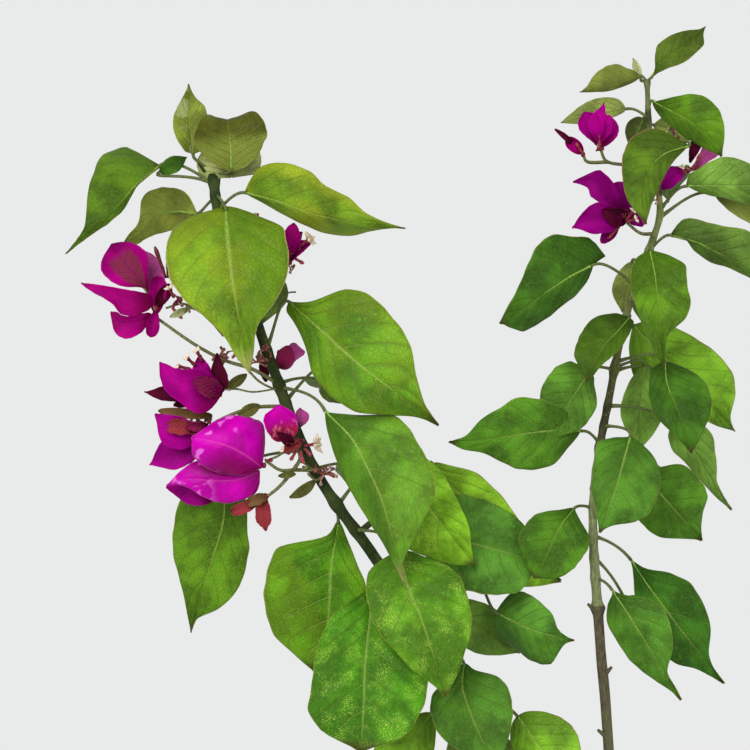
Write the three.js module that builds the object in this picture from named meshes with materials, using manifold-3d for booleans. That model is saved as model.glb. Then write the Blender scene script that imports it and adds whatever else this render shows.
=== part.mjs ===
// A small potted bougainvillea: one short trunk, two long canes with their leaves and magenta
// bracts, low leafy shoots round its foot, and a plain terracotta pot filled with compost.
// Millimetres, +Z up. The origin is the middle of the pot's flat underside. The plant's front
// is its -Y side, where both canes show side by side.

import * as THREE from 'three';
import { mergeVertices } from 'three/addons/utils/BufferGeometryUtils.js';
import Module from 'manifold-3d';

const wasm = await Module();
wasm.setup();

// The pot and its compost
const POT_HEIGHT = 155;
const POT_FOOT_RADIUS = 65;
const POT_TOP_RADIUS = 90;
const POT_WALL = 7;
const POT_FLOOR = 9;
const RIM_HEIGHT = 32;
const RIM_PROUD = 5;
const COMPOST_TOP = 140;
const GAP = 0.3;

// The trunk, from the compost to its fork
const TRUNK_FOOT_RADIUS = 12;
const TRUNK_TOP_RADIUS = 8.2;
const FORK_HEIGHT = 172;
const TRUNK_LEAN = 3;
const ROOT_LOBE = 1.2;

// A leaf's build
const LEAF_THICK = 1.2;
const BRACT_THICK = 0.9;
const BRACT_START = 0.8;
const BRACT_FULLNESS = 1.7;
const STALK_RADIUS = 0.9;
const LEAF_POINT = 1.4;
const LEAF_FULLNESS = 2.8;
const LOBED_BELOW = 0.55;
const NARROWEST_HALF = 0.6;
const MARGIN_STATIONS = [0, 0.02, 0.08, 0.22, 0.36, 0.5, 0.64, 0.78, 0.9, 1];
const MIDRIB_STATIONS = [0, 0.25, 0.5, 0.75, 1];

// Where the plant is looked at from. Every place in the tables below is the one seen from
// here on the upright plane through the trunk, and "back" is how far behind that plane the
// thing really is, so a leaf can be set nearer or further without leaving its place.
const EYE = new THREE.Vector3(-112.5, -800, 477.5);
const EYE_DISTANCE = 800;
const LOWEST_SEEN = 187.5;

// The canes and side shoots: height, place across, how far back, radius
const LEFT_CANE = [
  [172, -4.4, 0, 3.8], [205, -14, 0, 3.5], [265, -40, 0, 3.2], [325, -72, 0, 3.0], [384, -111, 0, 2.8],
  [429, -142, 0, 2.7], [485, -165, 0, 2.6], [537, -182, 0, 2.4], [560, -191, 0, 2.3], [578, -193.5, 0, 2.0],
];
const RIGHT_CANE = [
  [172, 4.4, 0, 3.4], [240, 6, 4, 2.9], [296, 4, 8, 2.6], [361, -1.2, 12, 2.5], [417, -3.2, 16, 2.1],
  [475, 6.3, 20, 1.9], [510, 14, 23, 1.8], [544, 26, 26, 1.7], [560, 30, 27, 1.6], [598, 24.8, 29, 1.4],
  [625, 23.5, 30, 1.2],
];
const HIGH_SIDE_SHOOT = [[398, -121, 0, 1.7], [414, -103, 12, 1.5], [434, -84, 24, 1.1]];
const LOW_SIDE_SHOOT = [[350, -90, 0, 1.7], [364, -76, 14, 1.5], [376, -60, 26, 1.1]];

// The leaves: height on the shoot where the stalk leaves it; the blade's foot across, high and
// back; its tip across, high and back; width; roll; fold; arch; sweep; slimness of the base,
// then of the point and the fullness where they aren't the usual ones. A leaf whose outline is
// known has its margins' distances from the straight line between foot and tip, at
// MARGIN_STATIONS, on the left and on the right hand of someone who looks from the foot to the
// tip, and its midrib's to the left of that line, at MIDRIB_STATIONS. Where the roll is null,
// the upper side faces up.
const LEFT_TOP_LEAVES = [
  [577, -203.5, 588, 0, -205.5, 623.5, 6, 18, 0, 10, 0.02, 0, 0.6,
    { left: [3.5, 5.1, 7.9, 9.1, 8.7, 6.6, 3.7, 1.6], right: [3, 6, 8.5, 9, 8.4, 7.3, 3.1, 1.1],
      middle: [0.6, 1.1, 0.6], foldLeft: 25 }],
  [576, -184.5, 581, -6, -186.5, 607, -4, 37, 0, 8, 0.16, 0, 0.42,
    { left: [2.5, 7, 13, 16.3, 17.2, 17.5, 16.7, 14], right: [6, 10, 14.6, 16.5, 18.3, 19.3, 19.6, 18.5],
      middle: [-0.5, -0.3, 0], foldLeft: -16, foldRight: -16 }],
  [576, -184.5, 578, -2, -187, 597, 6, 35, 0, 4, 0.02, 0, 0.42,
    { left: [8, 13, 16, 16.5, 16, 14, 11, 7], right: [13.5, 14.5, 15.6, 16, 16, 14, 11, 7],
      middle: [0, 0, 0] }],
  [573, -221, 581.5, -6, -267, 538.5, -28, 30, 0, 8, 0.1, 0, 0.42,
    { left: [0.6, -0.6, -0.4, 1.8, 3.9, 3.4, 2, 1], right: [17, 20.2, 22.8, 19.8, 15.4, 8.8, 2.8, 0.9],
      middle: [-0.8, 0.6, 0.5], foldLeft: 30, foldRight: -24 }],
  [566, -201.5, 558, 6, -237.5, 543.5, 26, 24, 180, 8, 0.06, 0, 0.5,
    { left: [0.5, 0.7, 1.7, 3, 2.6, 1.9, 2.1, 2.8], right: [8.5, 13, 17, 19.5, 19.8, 17, 6.8, 3.6],
      middle: [-5, -7, -3] }],
  [568, -187, 559.5, -8, -175.2, 479, -38, 59, 0, 5, 0.05, 0, 0.42,
    { left: [5, 14, 27, 27.2, 23.8, 16, 6.1, 3.3], right: [17, 28.3, 32.2, 31.9, 27.5, 17.5, 9.2, 5.3],
      middle: [-1.3, -1.8, -1.2], foldLeft: 12, foldRight: 0 }],
  [560, -176.5, 568.5, -8, -97.5, 551, -34, 30, 0, 8, 0.05, 0, 0.42,
    { left: [7, 15, 18.4, 17.1, 11.5, 8.9, 2.6, 0.6], right: [1, 2.5, 6.4, 9.3, 11, 9.8, 5.6, 2.2],
      middle: [-1, -3, -2.5], foldLeft: 5, foldRight: -52 }],
  [546, -184, 552, 12, -192, 508, 58, 44, 176, 10, 0.08, 0, 0.5],
  [522, -168, 528, 14, -178, 496, 62, 34, 190, 12, 0.08, 0, 0.5],
  [540, -181, 545, 14, -188, 522, 92, 36, null, 10, 0.06, 0, 0.5],
];
const LEFT_MIDDLE_LEAVES = [
  [490, -154.5, 513.5, -6, -81.7, 453.2, -34, 48, 0, 6, 0.05, 0, 0.46,
    { left: [1, 5.5, 23.3, 27.6, 26, 21.8, 10.9, 3.3],
      right: [4.5, 6.2, 12.2, 20.4, 22.5, 20.9, 12.2, 3.6], middle: [-1.2, -1.8, -1], foldLeft: 14,
      foldRight: 2 }],
  [471, -137.5, 459.5, -18, -97, 371.5, -56, 38, 0, 12, 0.05, 0, 0.6,
    { left: [1.9, 10.6, 31, 33.9, 34.5, 32, 17, 2.6], right: [1, 2.8, 4.8, 5.2, 4.3, 2.8, 1.1, 0.7],
      middle: [6.5, 7, 4], foldLeft: 10, foldRight: -30 }],
  [440, -187.5, 423, 10, -205, 348, 30, 38, 0, 8, 0.04, 0, 0.5,
    { left: [8, 13, 16, 19.7, 19.9, 17.6, 11, 1.3], right: [9, 17, 20.9, 20.3, 17.9, 12.4, 6.8, 3.1],
      middle: [3.6, 2, 0.6], foldLeft: 18, foldRight: -4 }],
  [414, -131, 403, 5, -142.5, 328, 16, 52, 0, 6, 0.05, 0, 0.45,
    { left: [1.8, 5, 12.3, 18.8, 20, 18, 13, 6], right: [1.2, 3.8, 28.9, 31.5, 31.8, 29.3, 23.9, 11],
      middle: [0, 1.8, 2.8], foldLeft: 14, foldRight: 0 }],
  [400, -100, 389, -24, -77, 317, -50, 46, 0, 8, 0.05, 0, 0.5,
    { left: [4, 9.6, 21, 24.4, 24, 21.2, 14.5, 7.7], right: [9.7, 18, 21.8, 22.4, 20.6, 16.3, 11.5, 4.7],
      middle: [-1.5, 0, 0] }],
  [412, -110, 432, 16, -102, 394, 60, 30, 180, 10, 0.08, 0, 0.5],
  [464, -135, 482, 16, -112, 466, 60, 32, 180, 10, 0.08, 0, 0.5],
  [473, -140, 475, 14, -118, 461, 92, 36, null, 10, 0.06, 0, 0.5],
  [430, -122, 432, 16, -112, 412, 98, 32, null, 10, 0.06, 0, 0.5],
];
const HIGH_SIDE_LEAVES = [
  [415, -108, 440, 8, -62.5, 382.5, -4, 38, 0, 8, 0.05, 0, 0.5,
    { left: [5, 11, 14, 16, 14.4, 12.3, 9.4, 3.8], right: [6, 13, 19, 22, 22, 20.9, 15.2, 8.9],
      middle: [0, 0, 0] }],
  [433, -85, 432, 30, -19, 374.2, 56, 30, 0, 8, 0.05, 0, 0.42,
    { left: [3.4, 7, 13.5, 13, 10.5, 7, 3.5, 1], right: [3, 8, 14, 18, 20, 22, 18, 10],
      middle: [0, -3, -4] }],
  [423, -84, 399, 16, -30, 384.2, 8, 49, 0, 6, 0.04, 0, 0.42,
    { left: [10, 21.6, 23, 23, 21.9, 20, 15.7, 5], right: [8, 18, 22, 23.6, 23.4, 22.5, 20.3, 17],
      middle: [0, 0, 0], foldLeft: -8, foldRight: 22 }],
];
const LEFT_FOOT_LEAVES = [
  [376, -113, 372, -14, -119.5, 289.5, -46, 58, 0, 6, 0.05, 0, 1.2, 0.7,
    { left: [3, 8, 20, 27, 29, 29, 25.8, 20], right: [2.5, 8, 19.3, 23.6, 25.6, 26, 26.8, 20],
      middle: [-1, -1.5, -0.5] }],
  [345, -68, 333, -12, -52.5, 277.5, -34, 39, 0, 8, 0.05, 0, 0.5,
    { left: [1.5, 4, 15, 17.8, 17, 14, 9.5, 4], right: [2, 8, 19.3, 21.7, 21.5, 18, 10.4, 4],
      middle: [-4, -3, -1], foldLeft: 0, foldRight: 14 }],
  [316, -41, 306.5, -8, -12.5, 268, -22, 37, 0, 10, 0.05, 0, 0.5,
    { foldRight: -30 }],
  [330, -84.5, 308.5, 9, -112.5, 270, 26, 28, 10, 10, 0.05, 0, 0.6],
  [362, -104, 350, 14, -118, 312, 58, 42, 178, 10, 0.08, 0, 0.5],
  [300, -56, 300, 14, -64, 262, 52, 38, 180, 10, 0.08, 0, 0.5],
  [282, -68, 276, -8, -88, 222, -34, 44, 0, 8, 0.05, 0, 0.5],
  [262, -24, 268, -6, -4, 222, -26, 38, 0, 8, 0.05, 0, 0.5],
  [372, -108, 365, 14, -118, 345, 94, 38, null, 10, 0.06, 0, 0.5],
  [270, -52, 266, -12, -62, 236, -80, 38, null, 10, 0.06, 0, 0.5],
];
const LOW_SIDE_LEAVES = [
  [375, -50, 357.5, 16, -13, 344.7, 6, 36, 0, 8, 0.05, 0, 0.36,
    { left: [5, 12, 15, 14.2, 11.8, 8.9, 2.5, 0.8], right: [7, 11, 13, 14.5, 16.7, 17, 15.2, 3.2],
      middle: [-1, -1.5, -1], foldLeft: 4, foldRight: -36 }],
  [370, -77, 361.5, 30, -40, 338.5, 40, 25, 0, 8, 0.05, 0, 0.42],
];
const RIGHT_FOOT_LEAVES = [
  [376, 6, 370, 4, 40.5, 315, -14, 29, 0, 8, 0.04, 0, 0.6,
    { left: [0.8, 3.6, 13.4, 16.5, 14.5, 9.9, 1.4, 0.8], right: [0.5, 6, 11.2, 11.5, 11.4, 9.2, 5.5, 2],
      middle: [0.5, 0.5, 0.3], foldLeft: 10, foldRight: -28 }],
  [397, 15.5, 385, 18, 63, 322, 34, 31, 0, 10, 0.04, 0, 0.55,
    { left: [0.8, 2.7, 12.6, 17.5, 16.1, 11.8, 2.4, 0.2], right: [0.8, 4.1, 11.7, 17, 17, 14, 6.7, 2.9],
      middle: [-1, -1, -0.5], foldLeft: -14, foldRight: 16 }],
  [411, -13.5, 410, 10, -33, 376, 0, 30, 0, 10, 0.05, 0, 0.42,
    { left: [1, 5, 13.7, 16, 15.6, 15, 12.6, 8], right: [1.4, 4.7, 11.9, 16, 17, 17, 13, 7],
      middle: [-1.5, -1, 0] }],
  [386, 12, 366, 26, 24, 338, 60, 24, 178, 10, 0.08, 0, 0.5],
];
const RIGHT_MIDDLE_LEAVES = [
  [441, 22, 427.5, 26, 51.5, 394, 34, 37, 0, 8, 0.05, 0, 0.5,
    { left: [5, 9.8, 18.8, 20, 20, 17.9, 9.1, 3.1], right: [5, 12, 17, 17.5, 16.8, 13.8, 8.2, 2.7],
      middle: [0, 0, 0], foldLeft: -8, foldRight: 12 }],
  [462, 36, 452.5, 38, 66.5, 409, 60, 24, 0, 12, 0.05, 0, 0.6,
    { left: [5, 12, 14, 10.5, 6.7, 2.3, 1, 0.2], right: [2, 5.1, 7.4, 5.6, 5, 4, 2.8, 1.2],
      middle: [2, 1, 0], foldRight: -20 }],
  [452, 15, 446.5, 5, 0, 399, -16, 35, 0, 8, 0.05, 0, 0.5,
    { left: [5, 11.8, 19, 21, 21.5, 20.5, 15.2, 4.5], right: [1.3, 8, 14.6, 13.5, 12.2, 10.4, 6.6, 3.2],
      middle: [0.4, 0.8, 0.4], foldLeft: -6, foldRight: 20 }],
  [443, -9.5, 449.5, 10, -74.5, 444, -14, 36, 0, 8, 0.05, 0, 0.6,
    { left: [2.3, 7, 15.8, 17.3, 16.2, 12, 6.4, 4.3], right: [3, 8, 14, 18, 19.3, 14.9, 9.9, 2.4],
      middle: [-1.5, -1, 0], foldLeft: -16, foldRight: 14 }],
  [480, -5.5, 479, 14, -28, 443.5, 2, 28, 0, 8, 0.05, 0, 0.5,
    { left: [3.3, 5.3, 10.6, 13, 13, 11.8, 7, 2.5], right: [10, 12.4, 15.9, 16.3, 15.7, 12.4, 6, 3],
      middle: [0, -0.5, 0], foldLeft: -4, foldRight: 16 }],
  [484, 32.5, 484, 10, 45.5, 439, -8, 31, 0, 8, 0.05, 0, 0.5,
    { left: [2.2, 6.7, 13.9, 16.8, 17.1, 14.8, 9.9, 5.3], right: [4, 8.2, 10.9, 12.6, 12.5, 10, 6.1, 2.8],
      middle: [-2, -1, 0], foldLeft: -8, foldRight: 18 }],
  [466, 22.5, 482, 30, 20, 440, 34, 24, 20, 20, 0.04, -0.04, 0.6],
  [505, 17, 502, 34, 67.5, 449.5, 58, 38, 0, 8, 0.05, 0, 0.5,
    { left: [4, 10, 15.8, 19.3, 21.4, 20.7, 14.4, 2.8], right: [3, 10, 18, 20, 20, 14, 8, 4.5],
      middle: [0, 0, 0], foldLeft: 4 }],
  [506, 14.5, 506, 12, -6.5, 474.5, -4, 25, 0, 8, 0.05, 0, 0.5,
    { left: [2.9, 3.7, 4.6, 4.9, 4.6, 3.2, 1.7, 1.2], right: [6, 9.4, 14.5, 15.9, 15.9, 14.8, 12.8, 6.3],
      middle: [-1, -2.5, -2], foldLeft: 20, foldRight: -10 }],
  [440, 14, 438, 30, 12, 402, 66, 28, 180, 10, 0.08, 0, 0.5],
  [470, 28, 480, 40, 42, 466, 114, 36, null, 10, 0.06, 0, 0.5],
  [430, 10, 432, 30, 22, 416, 108, 32, null, 10, 0.06, 0, 0.5],
];
const RIGHT_TOP_LEAVES = [
  [522, -4.5, 532, 16, -49.5, 503.5, -10, 40, 0, 8, 0.02, 0, 0.42,
    { left: [2, 6, 9, 9.3, 10.4, 10.5, 9.8, 5.5], right: [12, 17, 24, 23.3, 19, 13, 8, 4.3],
      middle: [-1, -1, 0], foldLeft: -46, foldRight: 4, lobeRight: 11 }],
  [546, 25, 539.5, 12, 32, 482, -10, 33, 0, 8, 0.05, 0, 0.5,
    { left: [2.9, 9.6, 16.8, 16.3, 16.8, 13.5, 2.9, 1.4], right: [2.7, 7.7, 10.8, 11.6, 10.2, 8.5, 6, 3.2],
      middle: [1, 1, 0], foldRight: 16 }],
  [530, 16, 534, 36, 11, 508.5, 48, 15, 0, 10, 0.04, 0, 0.55],
  [540, 36.5, 547, 22, 92.5, 517.5, 6, 32, 0, 12, 0.05, 0, 0.42,
    { left: [8.8, 12.4, 14.5, 16.7, 19.7, 18, 12, 6], right: [-0.5, -2, 1.9, 3, 1.2, 0.8, 0.5, 0.3],
      middle: [3, 3, 1.5], foldLeft: 8, foldRight: -50 }],
  [560, 44, 572, 22, 97.5, 572.5, 8, 30, 0, 12, 0.05, 0, 0.46,
    { left: [5.8, 7.8, 12.4, 14.7, 13, 9, 5, 2.5], right: [0.5, 2.5, 5.2, 6.6, 9, 10, 7, 3],
      middle: [0, 0, 0], foldLeft: 6, foldRight: -34 }],
  [556, 58, 567.5, 34, 95, 550, 46, 22, 30, 20, 0.05, 0, 0.55],
  [590, 44.5, 592, 15, 23.5, 554, -4, 31, 0, 8, 0.06, 0, 0.5,
    { left: [-0.3, -1, -2.8, -3.3, -3.3, -2.8, -2.2, -1], right: [14, 21, 26, 27.5, 27, 24.3, 20, 14],
      middle: [-9, -12, -9], foldLeft: -24, foldRight: 10 }],
  [610, 26, 614.5, 28, 60.5, 587, 14, 28, 0, 12, 0.08, 0, 0.55,
    { left: [0.5, 3.3, 10.1, 16, 18.3, 17.7, 14.3, 8.4], right: [1, 2.5, 4, 4, 4, 3.4, 2.4, 1.2],
      middle: [2, 4, 4], foldLeft: 6, foldRight: -46 }],
  [600, 27, 602.5, 36, 48, 597.5, 50, 18, 0, 12, 0.05, 0, 0.55],
  [624, 26, 626.5, 30, 53, 652, 26, 18, 0, 16, 0.05, 0, 0.6,
    { left: [0.3, 1.3, 7, 10.2, 9.5, 7.7, 4.7, 1.3], right: [0.2, 0.6, 2.3, 4.8, 6.1, 6.4, 6.2, 2.1],
      middle: [2.5, 1, -1], foldLeft: 10, foldRight: 34 }],
  [624, 20, 627, 30, -9.5, 619, 24, 16, 0, 16, 0.08, 0, 0.6,
    { left: [1, 1.9, 2.8, 3.2, 3.4, 3, 2, 1], right: [1.6, 3.4, 5.8, 9, 9.5, 8.4, 5.9, 1.9],
      middle: [0.6, 0.5, 0.3], foldLeft: -40, foldRight: 6 }],
  [624, 20.5, 626, 33, 16.5, 637, 35, 7, 0, 20, 0.02, 0, 0.7],
  [606, 13, 610.5, 34, -20, 603.5, 52, 14, 0, 8, 0.05, 0, 0.6,
    { left: [1, 2, 3, 3.5, 3.5, 3, 2, 1], right: [3, 6, 8, 8.5, 8, 6.5, 4, 2], middle: [0, 0, 0] }],
  [604, 22, 606, 38, 15, 590, 58, 15, 170, 12, 0.05, 0, 0.6],
  [538, 26, 531, 38, 28, 495, 72, 26, 180, 10, 0.08, 0, 0.5],
  [540, 27, 525, 36, 30, 507, 112, 32, null, 10, 0.06, 0, 0.5],
  [585, 28, 580, 34, 34, 566, 108, 30, null, 10, 0.06, 0, 0.5],
];

// The flowering twigs: each starts at a height on its cane and runs through its places, across,
// high and back. Each bloom's bracts reach from its heart to their tips, with a width, a roll
// and what is special about their outline.
const FLOWERING_TWIGS = [
  {
    name: 'bracts_left_top', cane: LEFT_CANE, from: 524,
    twigs: [[[-168, 532, -1], [-155, 534, -2]]],
    blooms: [
      {
        heart: [-155, 534, -2],
        bracts: [
          [-155, 554, -4, 11, 0],
          [-144, 545, -4, 10, 30],
        ],
      },
    ],
  },
  {
    name: 'bracts_left_high', cane: LEFT_CANE, from: 473,
    twigs: [
      [[-174, 480.5, -6], [-188, 485, -8], [-203, 493, -8], [-217, 510, -6]],
      [[-188, 485, -8], [-191, 478, -9], [-190, 470, -9]],
    ],
    blooms: [
      {
        heart: [-217, 511, -6],
        bracts: [
          [-244, 542.5, -8, 24, 10, { base: 1.5, point: 0.75, fullness: 2.5 }],
          [-227, 537.5, 4, 16, 10, { base: 1.1, point: 0.8 }],
          [-259.5, 523.5, -14, 15, 0, { base: 0.7, point: 1.9, left: 1.5, right: 0.4, sweep: 0.03 }],
          [-241, 498, -16, 20, 0, { base: 0.8, point: 0.8, left: 0.9, right: 1.2 }],
        ],
      },
      {
        heart: [-190, 470, -9],
        bracts: [
          [-220.5, 485, -18, 20, 0, { base: 0.55, point: 0.62, left: 1.55, right: 0.55, sweep: -0.06 }],
          [-228, 469, -8, 11, 0, { base: 0.6, point: 1.2 }],
          [-201, 488, -6, 13, 10, { base: 0.6, point: 0.6 }],
          [-205, 478, -20, 14, 0],
        ],
      },
    ],
  },
  {
    name: 'bracts_left_middle', cane: LEFT_CANE, from: 462,
    twigs: [[[-174, 461, -8], [-190, 455, -8], [-196, 449, -7]]],
    blooms: [
      {
        heart: [-196, 449, -7],
        bracts: [
          [-222.5, 457.5, -8, 15, 0, { base: 0.6, point: 0.9, left: 1.2 }],
          [-225.5, 432.5, -2, 19, 0, { base: 0.5, point: 0.95, left: 0.85, right: 0.9 }],
          [-217, 451.5, -13, 12, 20, { base: 0.8, point: 0.8 }],
        ],
      },
    ],
  },
  {
    name: 'bracts_left_low', cane: LEFT_CANE, from: 430,
    twigs: [
      [[-153, 430, -8], [-160, 430, -12], [-167, 434.5, -16]],
      [[-153, 430, -8], [-150, 436, -12], [-150, 442, -14]],
      [[-153, 430, -8], [-160, 422, -8], [-166, 417, -8]],
    ],
    blooms: [
      {
        heart: [-167, 434.5, -16],
        bracts: [
          [-201, 451, -30, 40, 0, { base: 0.42, point: 0.5, fullness: 2.2, left: 1.0, right: 0.92 }],
          [-217, 422, -20, 32, 0, { base: 0.42, point: 0.95, fullness: 2.0, left: 0.95, right: 1.0, sweep: 0.03 }],
          [-213, 419, -8, 22, 0, { base: 0.8, point: 0.7, left: 0.8, right: 0.5 }],
        ],
      },
      {
        heart: [-150, 442, -14],
        bracts: [
          [-162, 463, -20, 15, 0, { base: 0.6, point: 0.5 }],
        ],
      },
      {
        heart: [-166, 417, -8],
        bracts: [
          [-168, 399.5, -8, 11, 10, { base: 0.8, point: 1.0 }],
        ],
      },
    ],
  },
  {
    name: 'bracts_left_behind', cane: LEFT_CANE, from: 480,
    twigs: [[[-163, 482, 5], [-160, 483, 7]]],
    blooms: [
      {
        heart: [-160, 483, 7],
        bracts: [
          [-146.5, 489.5, 9, 14, 0, { base: 0.9, point: 1.0, left: 1.2, right: 0.7 }],
        ],
      },
    ],
  },
  {
    name: 'bracts_right_top', cane: RIGHT_CANE, from: 578,
    twigs: [
      [[18, 582, 24], [4, 584, 22], [0, 591, 21]],
      [[4, 584, 22], [-6, 584, 22], [-8.5, 588, 21]],
    ],
    blooms: [
      {
        heart: [0, 591, 21],
        bracts: [
          [0.5, 613.5, 17, 18, 0, { base: 0.7, point: 0.7 }],
          [-9.5, 607, 21, 10, 20],
          [9, 603, 24, 11, 0],
        ],
      },
      {
        heart: [-8.5, 588, 21],
        bracts: [
          [-22.5, 600.5, 18, 10, 0, { point: 1.1 }],
          [-18, 590, 26, 8, 30],
        ],
      },
    ],
  },
  {
    name: 'bracts_right_middle', cane: RIGHT_CANE, from: 550,
    twigs: [[[18, 556, 20], [6, 562.5, 18]]],
    blooms: [
      {
        heart: [6, 562.5, 18],
        bracts: [
          [-12, 579.5, 14, 19, 0, { base: 0.6, point: 0.7 }],
          [-14, 551, 12, 20, 10, { base: 0.6, point: 0.8 }],
          [1, 543.5, 18, 16, 0, { base: 0.6, point: 0.9 }],
          [22, 554.5, 12, 17, 0, { base: 0.6, point: 0.8 }],
          [0, 570, 4, 11, 0],
        ],
      },
    ],
  },
  {
    name: 'bracts_right_side', cane: RIGHT_CANE, from: 567,
    twigs: [[[36, 573, 20], [41, 576, 24], [46, 580, 28]]],
    blooms: [
      {
        heart: [46, 580, 28],
        bracts: [
          [49, 597, 30, 11, 0],
          [59, 590, 32, 14, 20, { base: 0.8 }],
        ],
      },
      {
        heart: [36, 573, 20],
        bracts: [
          [42.5, 585, 18, 12, 0],
        ],
      },
    ],
  },
];

// The low shoots round the foot
const LOW_SHOOTS = 5;
const LOW_SHOOT_RISE = 64;
const LOW_SHOOT_REACH = 56;
const LOW_SHOOT_LEAVES = 6;
const LOW_SHOOT_RADIUS = 1.7;
const LOW_SHOOT_TURN = -54;
const SEED = 17;

// Colours
const TERRACOTTA = 0xb8683f;
const COMPOST = 0x3d2c20;
const BARK = 0x6f6450;
const LEAF_GREEN = 0x5f9a22;
const DEEP_GREEN = 0x3f7a24;
const MAGENTA = 0xb010a4;

// Numbers that look random but are the same each time
function seededNumbers(seed) {
  let state = seed;
  return () => {
    state = (state * 16807) % 2147483647;
    return state / 2147483647;
  };
}

// A place as it is seen, pushed back along its line of sight to where it really is
function seen(across, high, back) {
  const onPlane = new THREE.Vector3(across, 0, high);
  return EYE.clone().lerp(onPlane, (EYE_DISTANCE + back) / EYE_DISTANCE);
}

// A limb's place and radius at a height, on a smooth line through its rows
function limbAt(limb, height) {
  let row = 0;
  while (row < limb.length - 2 && height > limb[row + 1][0]) row += 1;
  const slope = (at, column) => {
    const before = limb[Math.max(at - 1, 0)];
    const after = limb[Math.min(at + 1, limb.length - 1)];
    return (after[column] - before[column]) / (after[0] - before[0]);
  };
  const span = limb[row + 1][0] - limb[row][0];
  const t = (height - limb[row][0]) / span;
  const value = (column) => {
    const bulge = t * t * (3 - 2 * t);
    const leaving = slope(row, column) * span * t * (1 - t) * (1 - t);
    const arriving = slope(row + 1, column) * span * t * t * (t - 1);
    return limb[row][column] * (1 - bulge) + limb[row + 1][column] * bulge + leaving + arriving;
  };
  return { centre: seen(value(1), height, value(2)), radius: value(3) };
}

// A closed skin over rings of points, with a flat fan on each end
function skinOver(rings) {
  const sides = rings[0].length;
  const positions = rings.flat().flatMap((point) => [point.x, point.y, point.z]);
  const index = [];
  for (let ring = 0; ring < rings.length - 1; ring += 1) {
    for (let side = 0; side < sides; side += 1) {
      const here = ring * sides + side;
      const beside = ring * sides + ((side + 1) % sides);
      index.push(here, beside, beside + sides, here, beside + sides, here + sides);
    }
  }
  const last = (rings.length - 1) * sides;
  for (let side = 1; side < sides - 1; side += 1) {
    index.push(0, side + 1, side, last, last + side, last + side + 1);
  }
  const geometry = new THREE.BufferGeometry();
  geometry.setAttribute('position', new THREE.Float32BufferAttribute(positions, 3));
  geometry.setIndex(index);
  return geometry;
}

// A tapering round bar through points. Its first ring can be held level, to stand flat.
function bar(points, radii, sides, levelFoot = false) {
  const directions = points.map((point, at) => {
    const before = points[Math.max(at - 1, 0)];
    const after = points[Math.min(at + 1, points.length - 1)];
    return after.clone().sub(before).normalize();
  });
  if (levelFoot) directions[0].set(0, 0, 1);
  const out = new THREE.Vector3(0, -1, 0);
  const rings = points.map((point, at) => {
    const along = directions[at];
    out.addScaledVector(along, -out.dot(along)).normalize();
    const across = along.clone().cross(out);
    return Array.from({ length: sides }, (_, side) => {
      const turn = (side * 2 * Math.PI) / sides;
      const spoke = out.clone().multiplyScalar(Math.cos(turn)).addScaledVector(across, Math.sin(turn));
      return point.clone().addScaledVector(spoke, radii[at]);
    });
  });
  return skinOver(rings);
}

// A limb's bar between two heights
function limbBar(limb, low, high, sides, levelFoot = false) {
  const steps = Math.max(2, Math.ceil((high - low) / 14));
  const stops = Array.from({ length: steps + 1 }, (_, at) => limbAt(limb, low + ((high - low) * at) / steps));
  return bar(stops.map((stop) => stop.centre), stops.map((stop) => stop.radius), sides, levelFoot);
}

// How wide a blade is along its length, as a share of its widest
function bladeWidth(t, base, point, fullness) {
  const fall = base / (base + fullness * point);
  const widest = fall ** (1 / fullness);
  return (t / widest) ** base * ((1 - t ** fullness) / (1 - fall)) ** point;
}

// A value between stations, on a smooth line that never swings past them
function eased(stations, inner, t) {
  const values = [0, ...inner, 0];
  const steps = stations.slice(1).map((there, at) => (values[at + 1] - values[at]) / (there - stations[at]));
  const slopeAt = (at) => {
    if (at === 0) return steps[0];
    if (at === steps.length) return steps.at(-1);
    const product = steps[at - 1] * steps[at];
    return product > 0 ? (2 * product) / (steps[at - 1] + steps[at]) : 0;
  };
  let at = 0;
  while (at < steps.length - 1 && t >= stations[at + 1]) at += 1;
  const span = stations[at + 1] - stations[at];
  const share = (t - stations[at]) / span;
  const rise = share * share * (3 - 2 * share);
  return values[at] + (values[at + 1] - values[at]) * rise
    + slopeAt(at) * span * share * (1 - share) ** 2 + slopeAt(at + 1) * span * share ** 2 * (share - 1);
}

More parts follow.
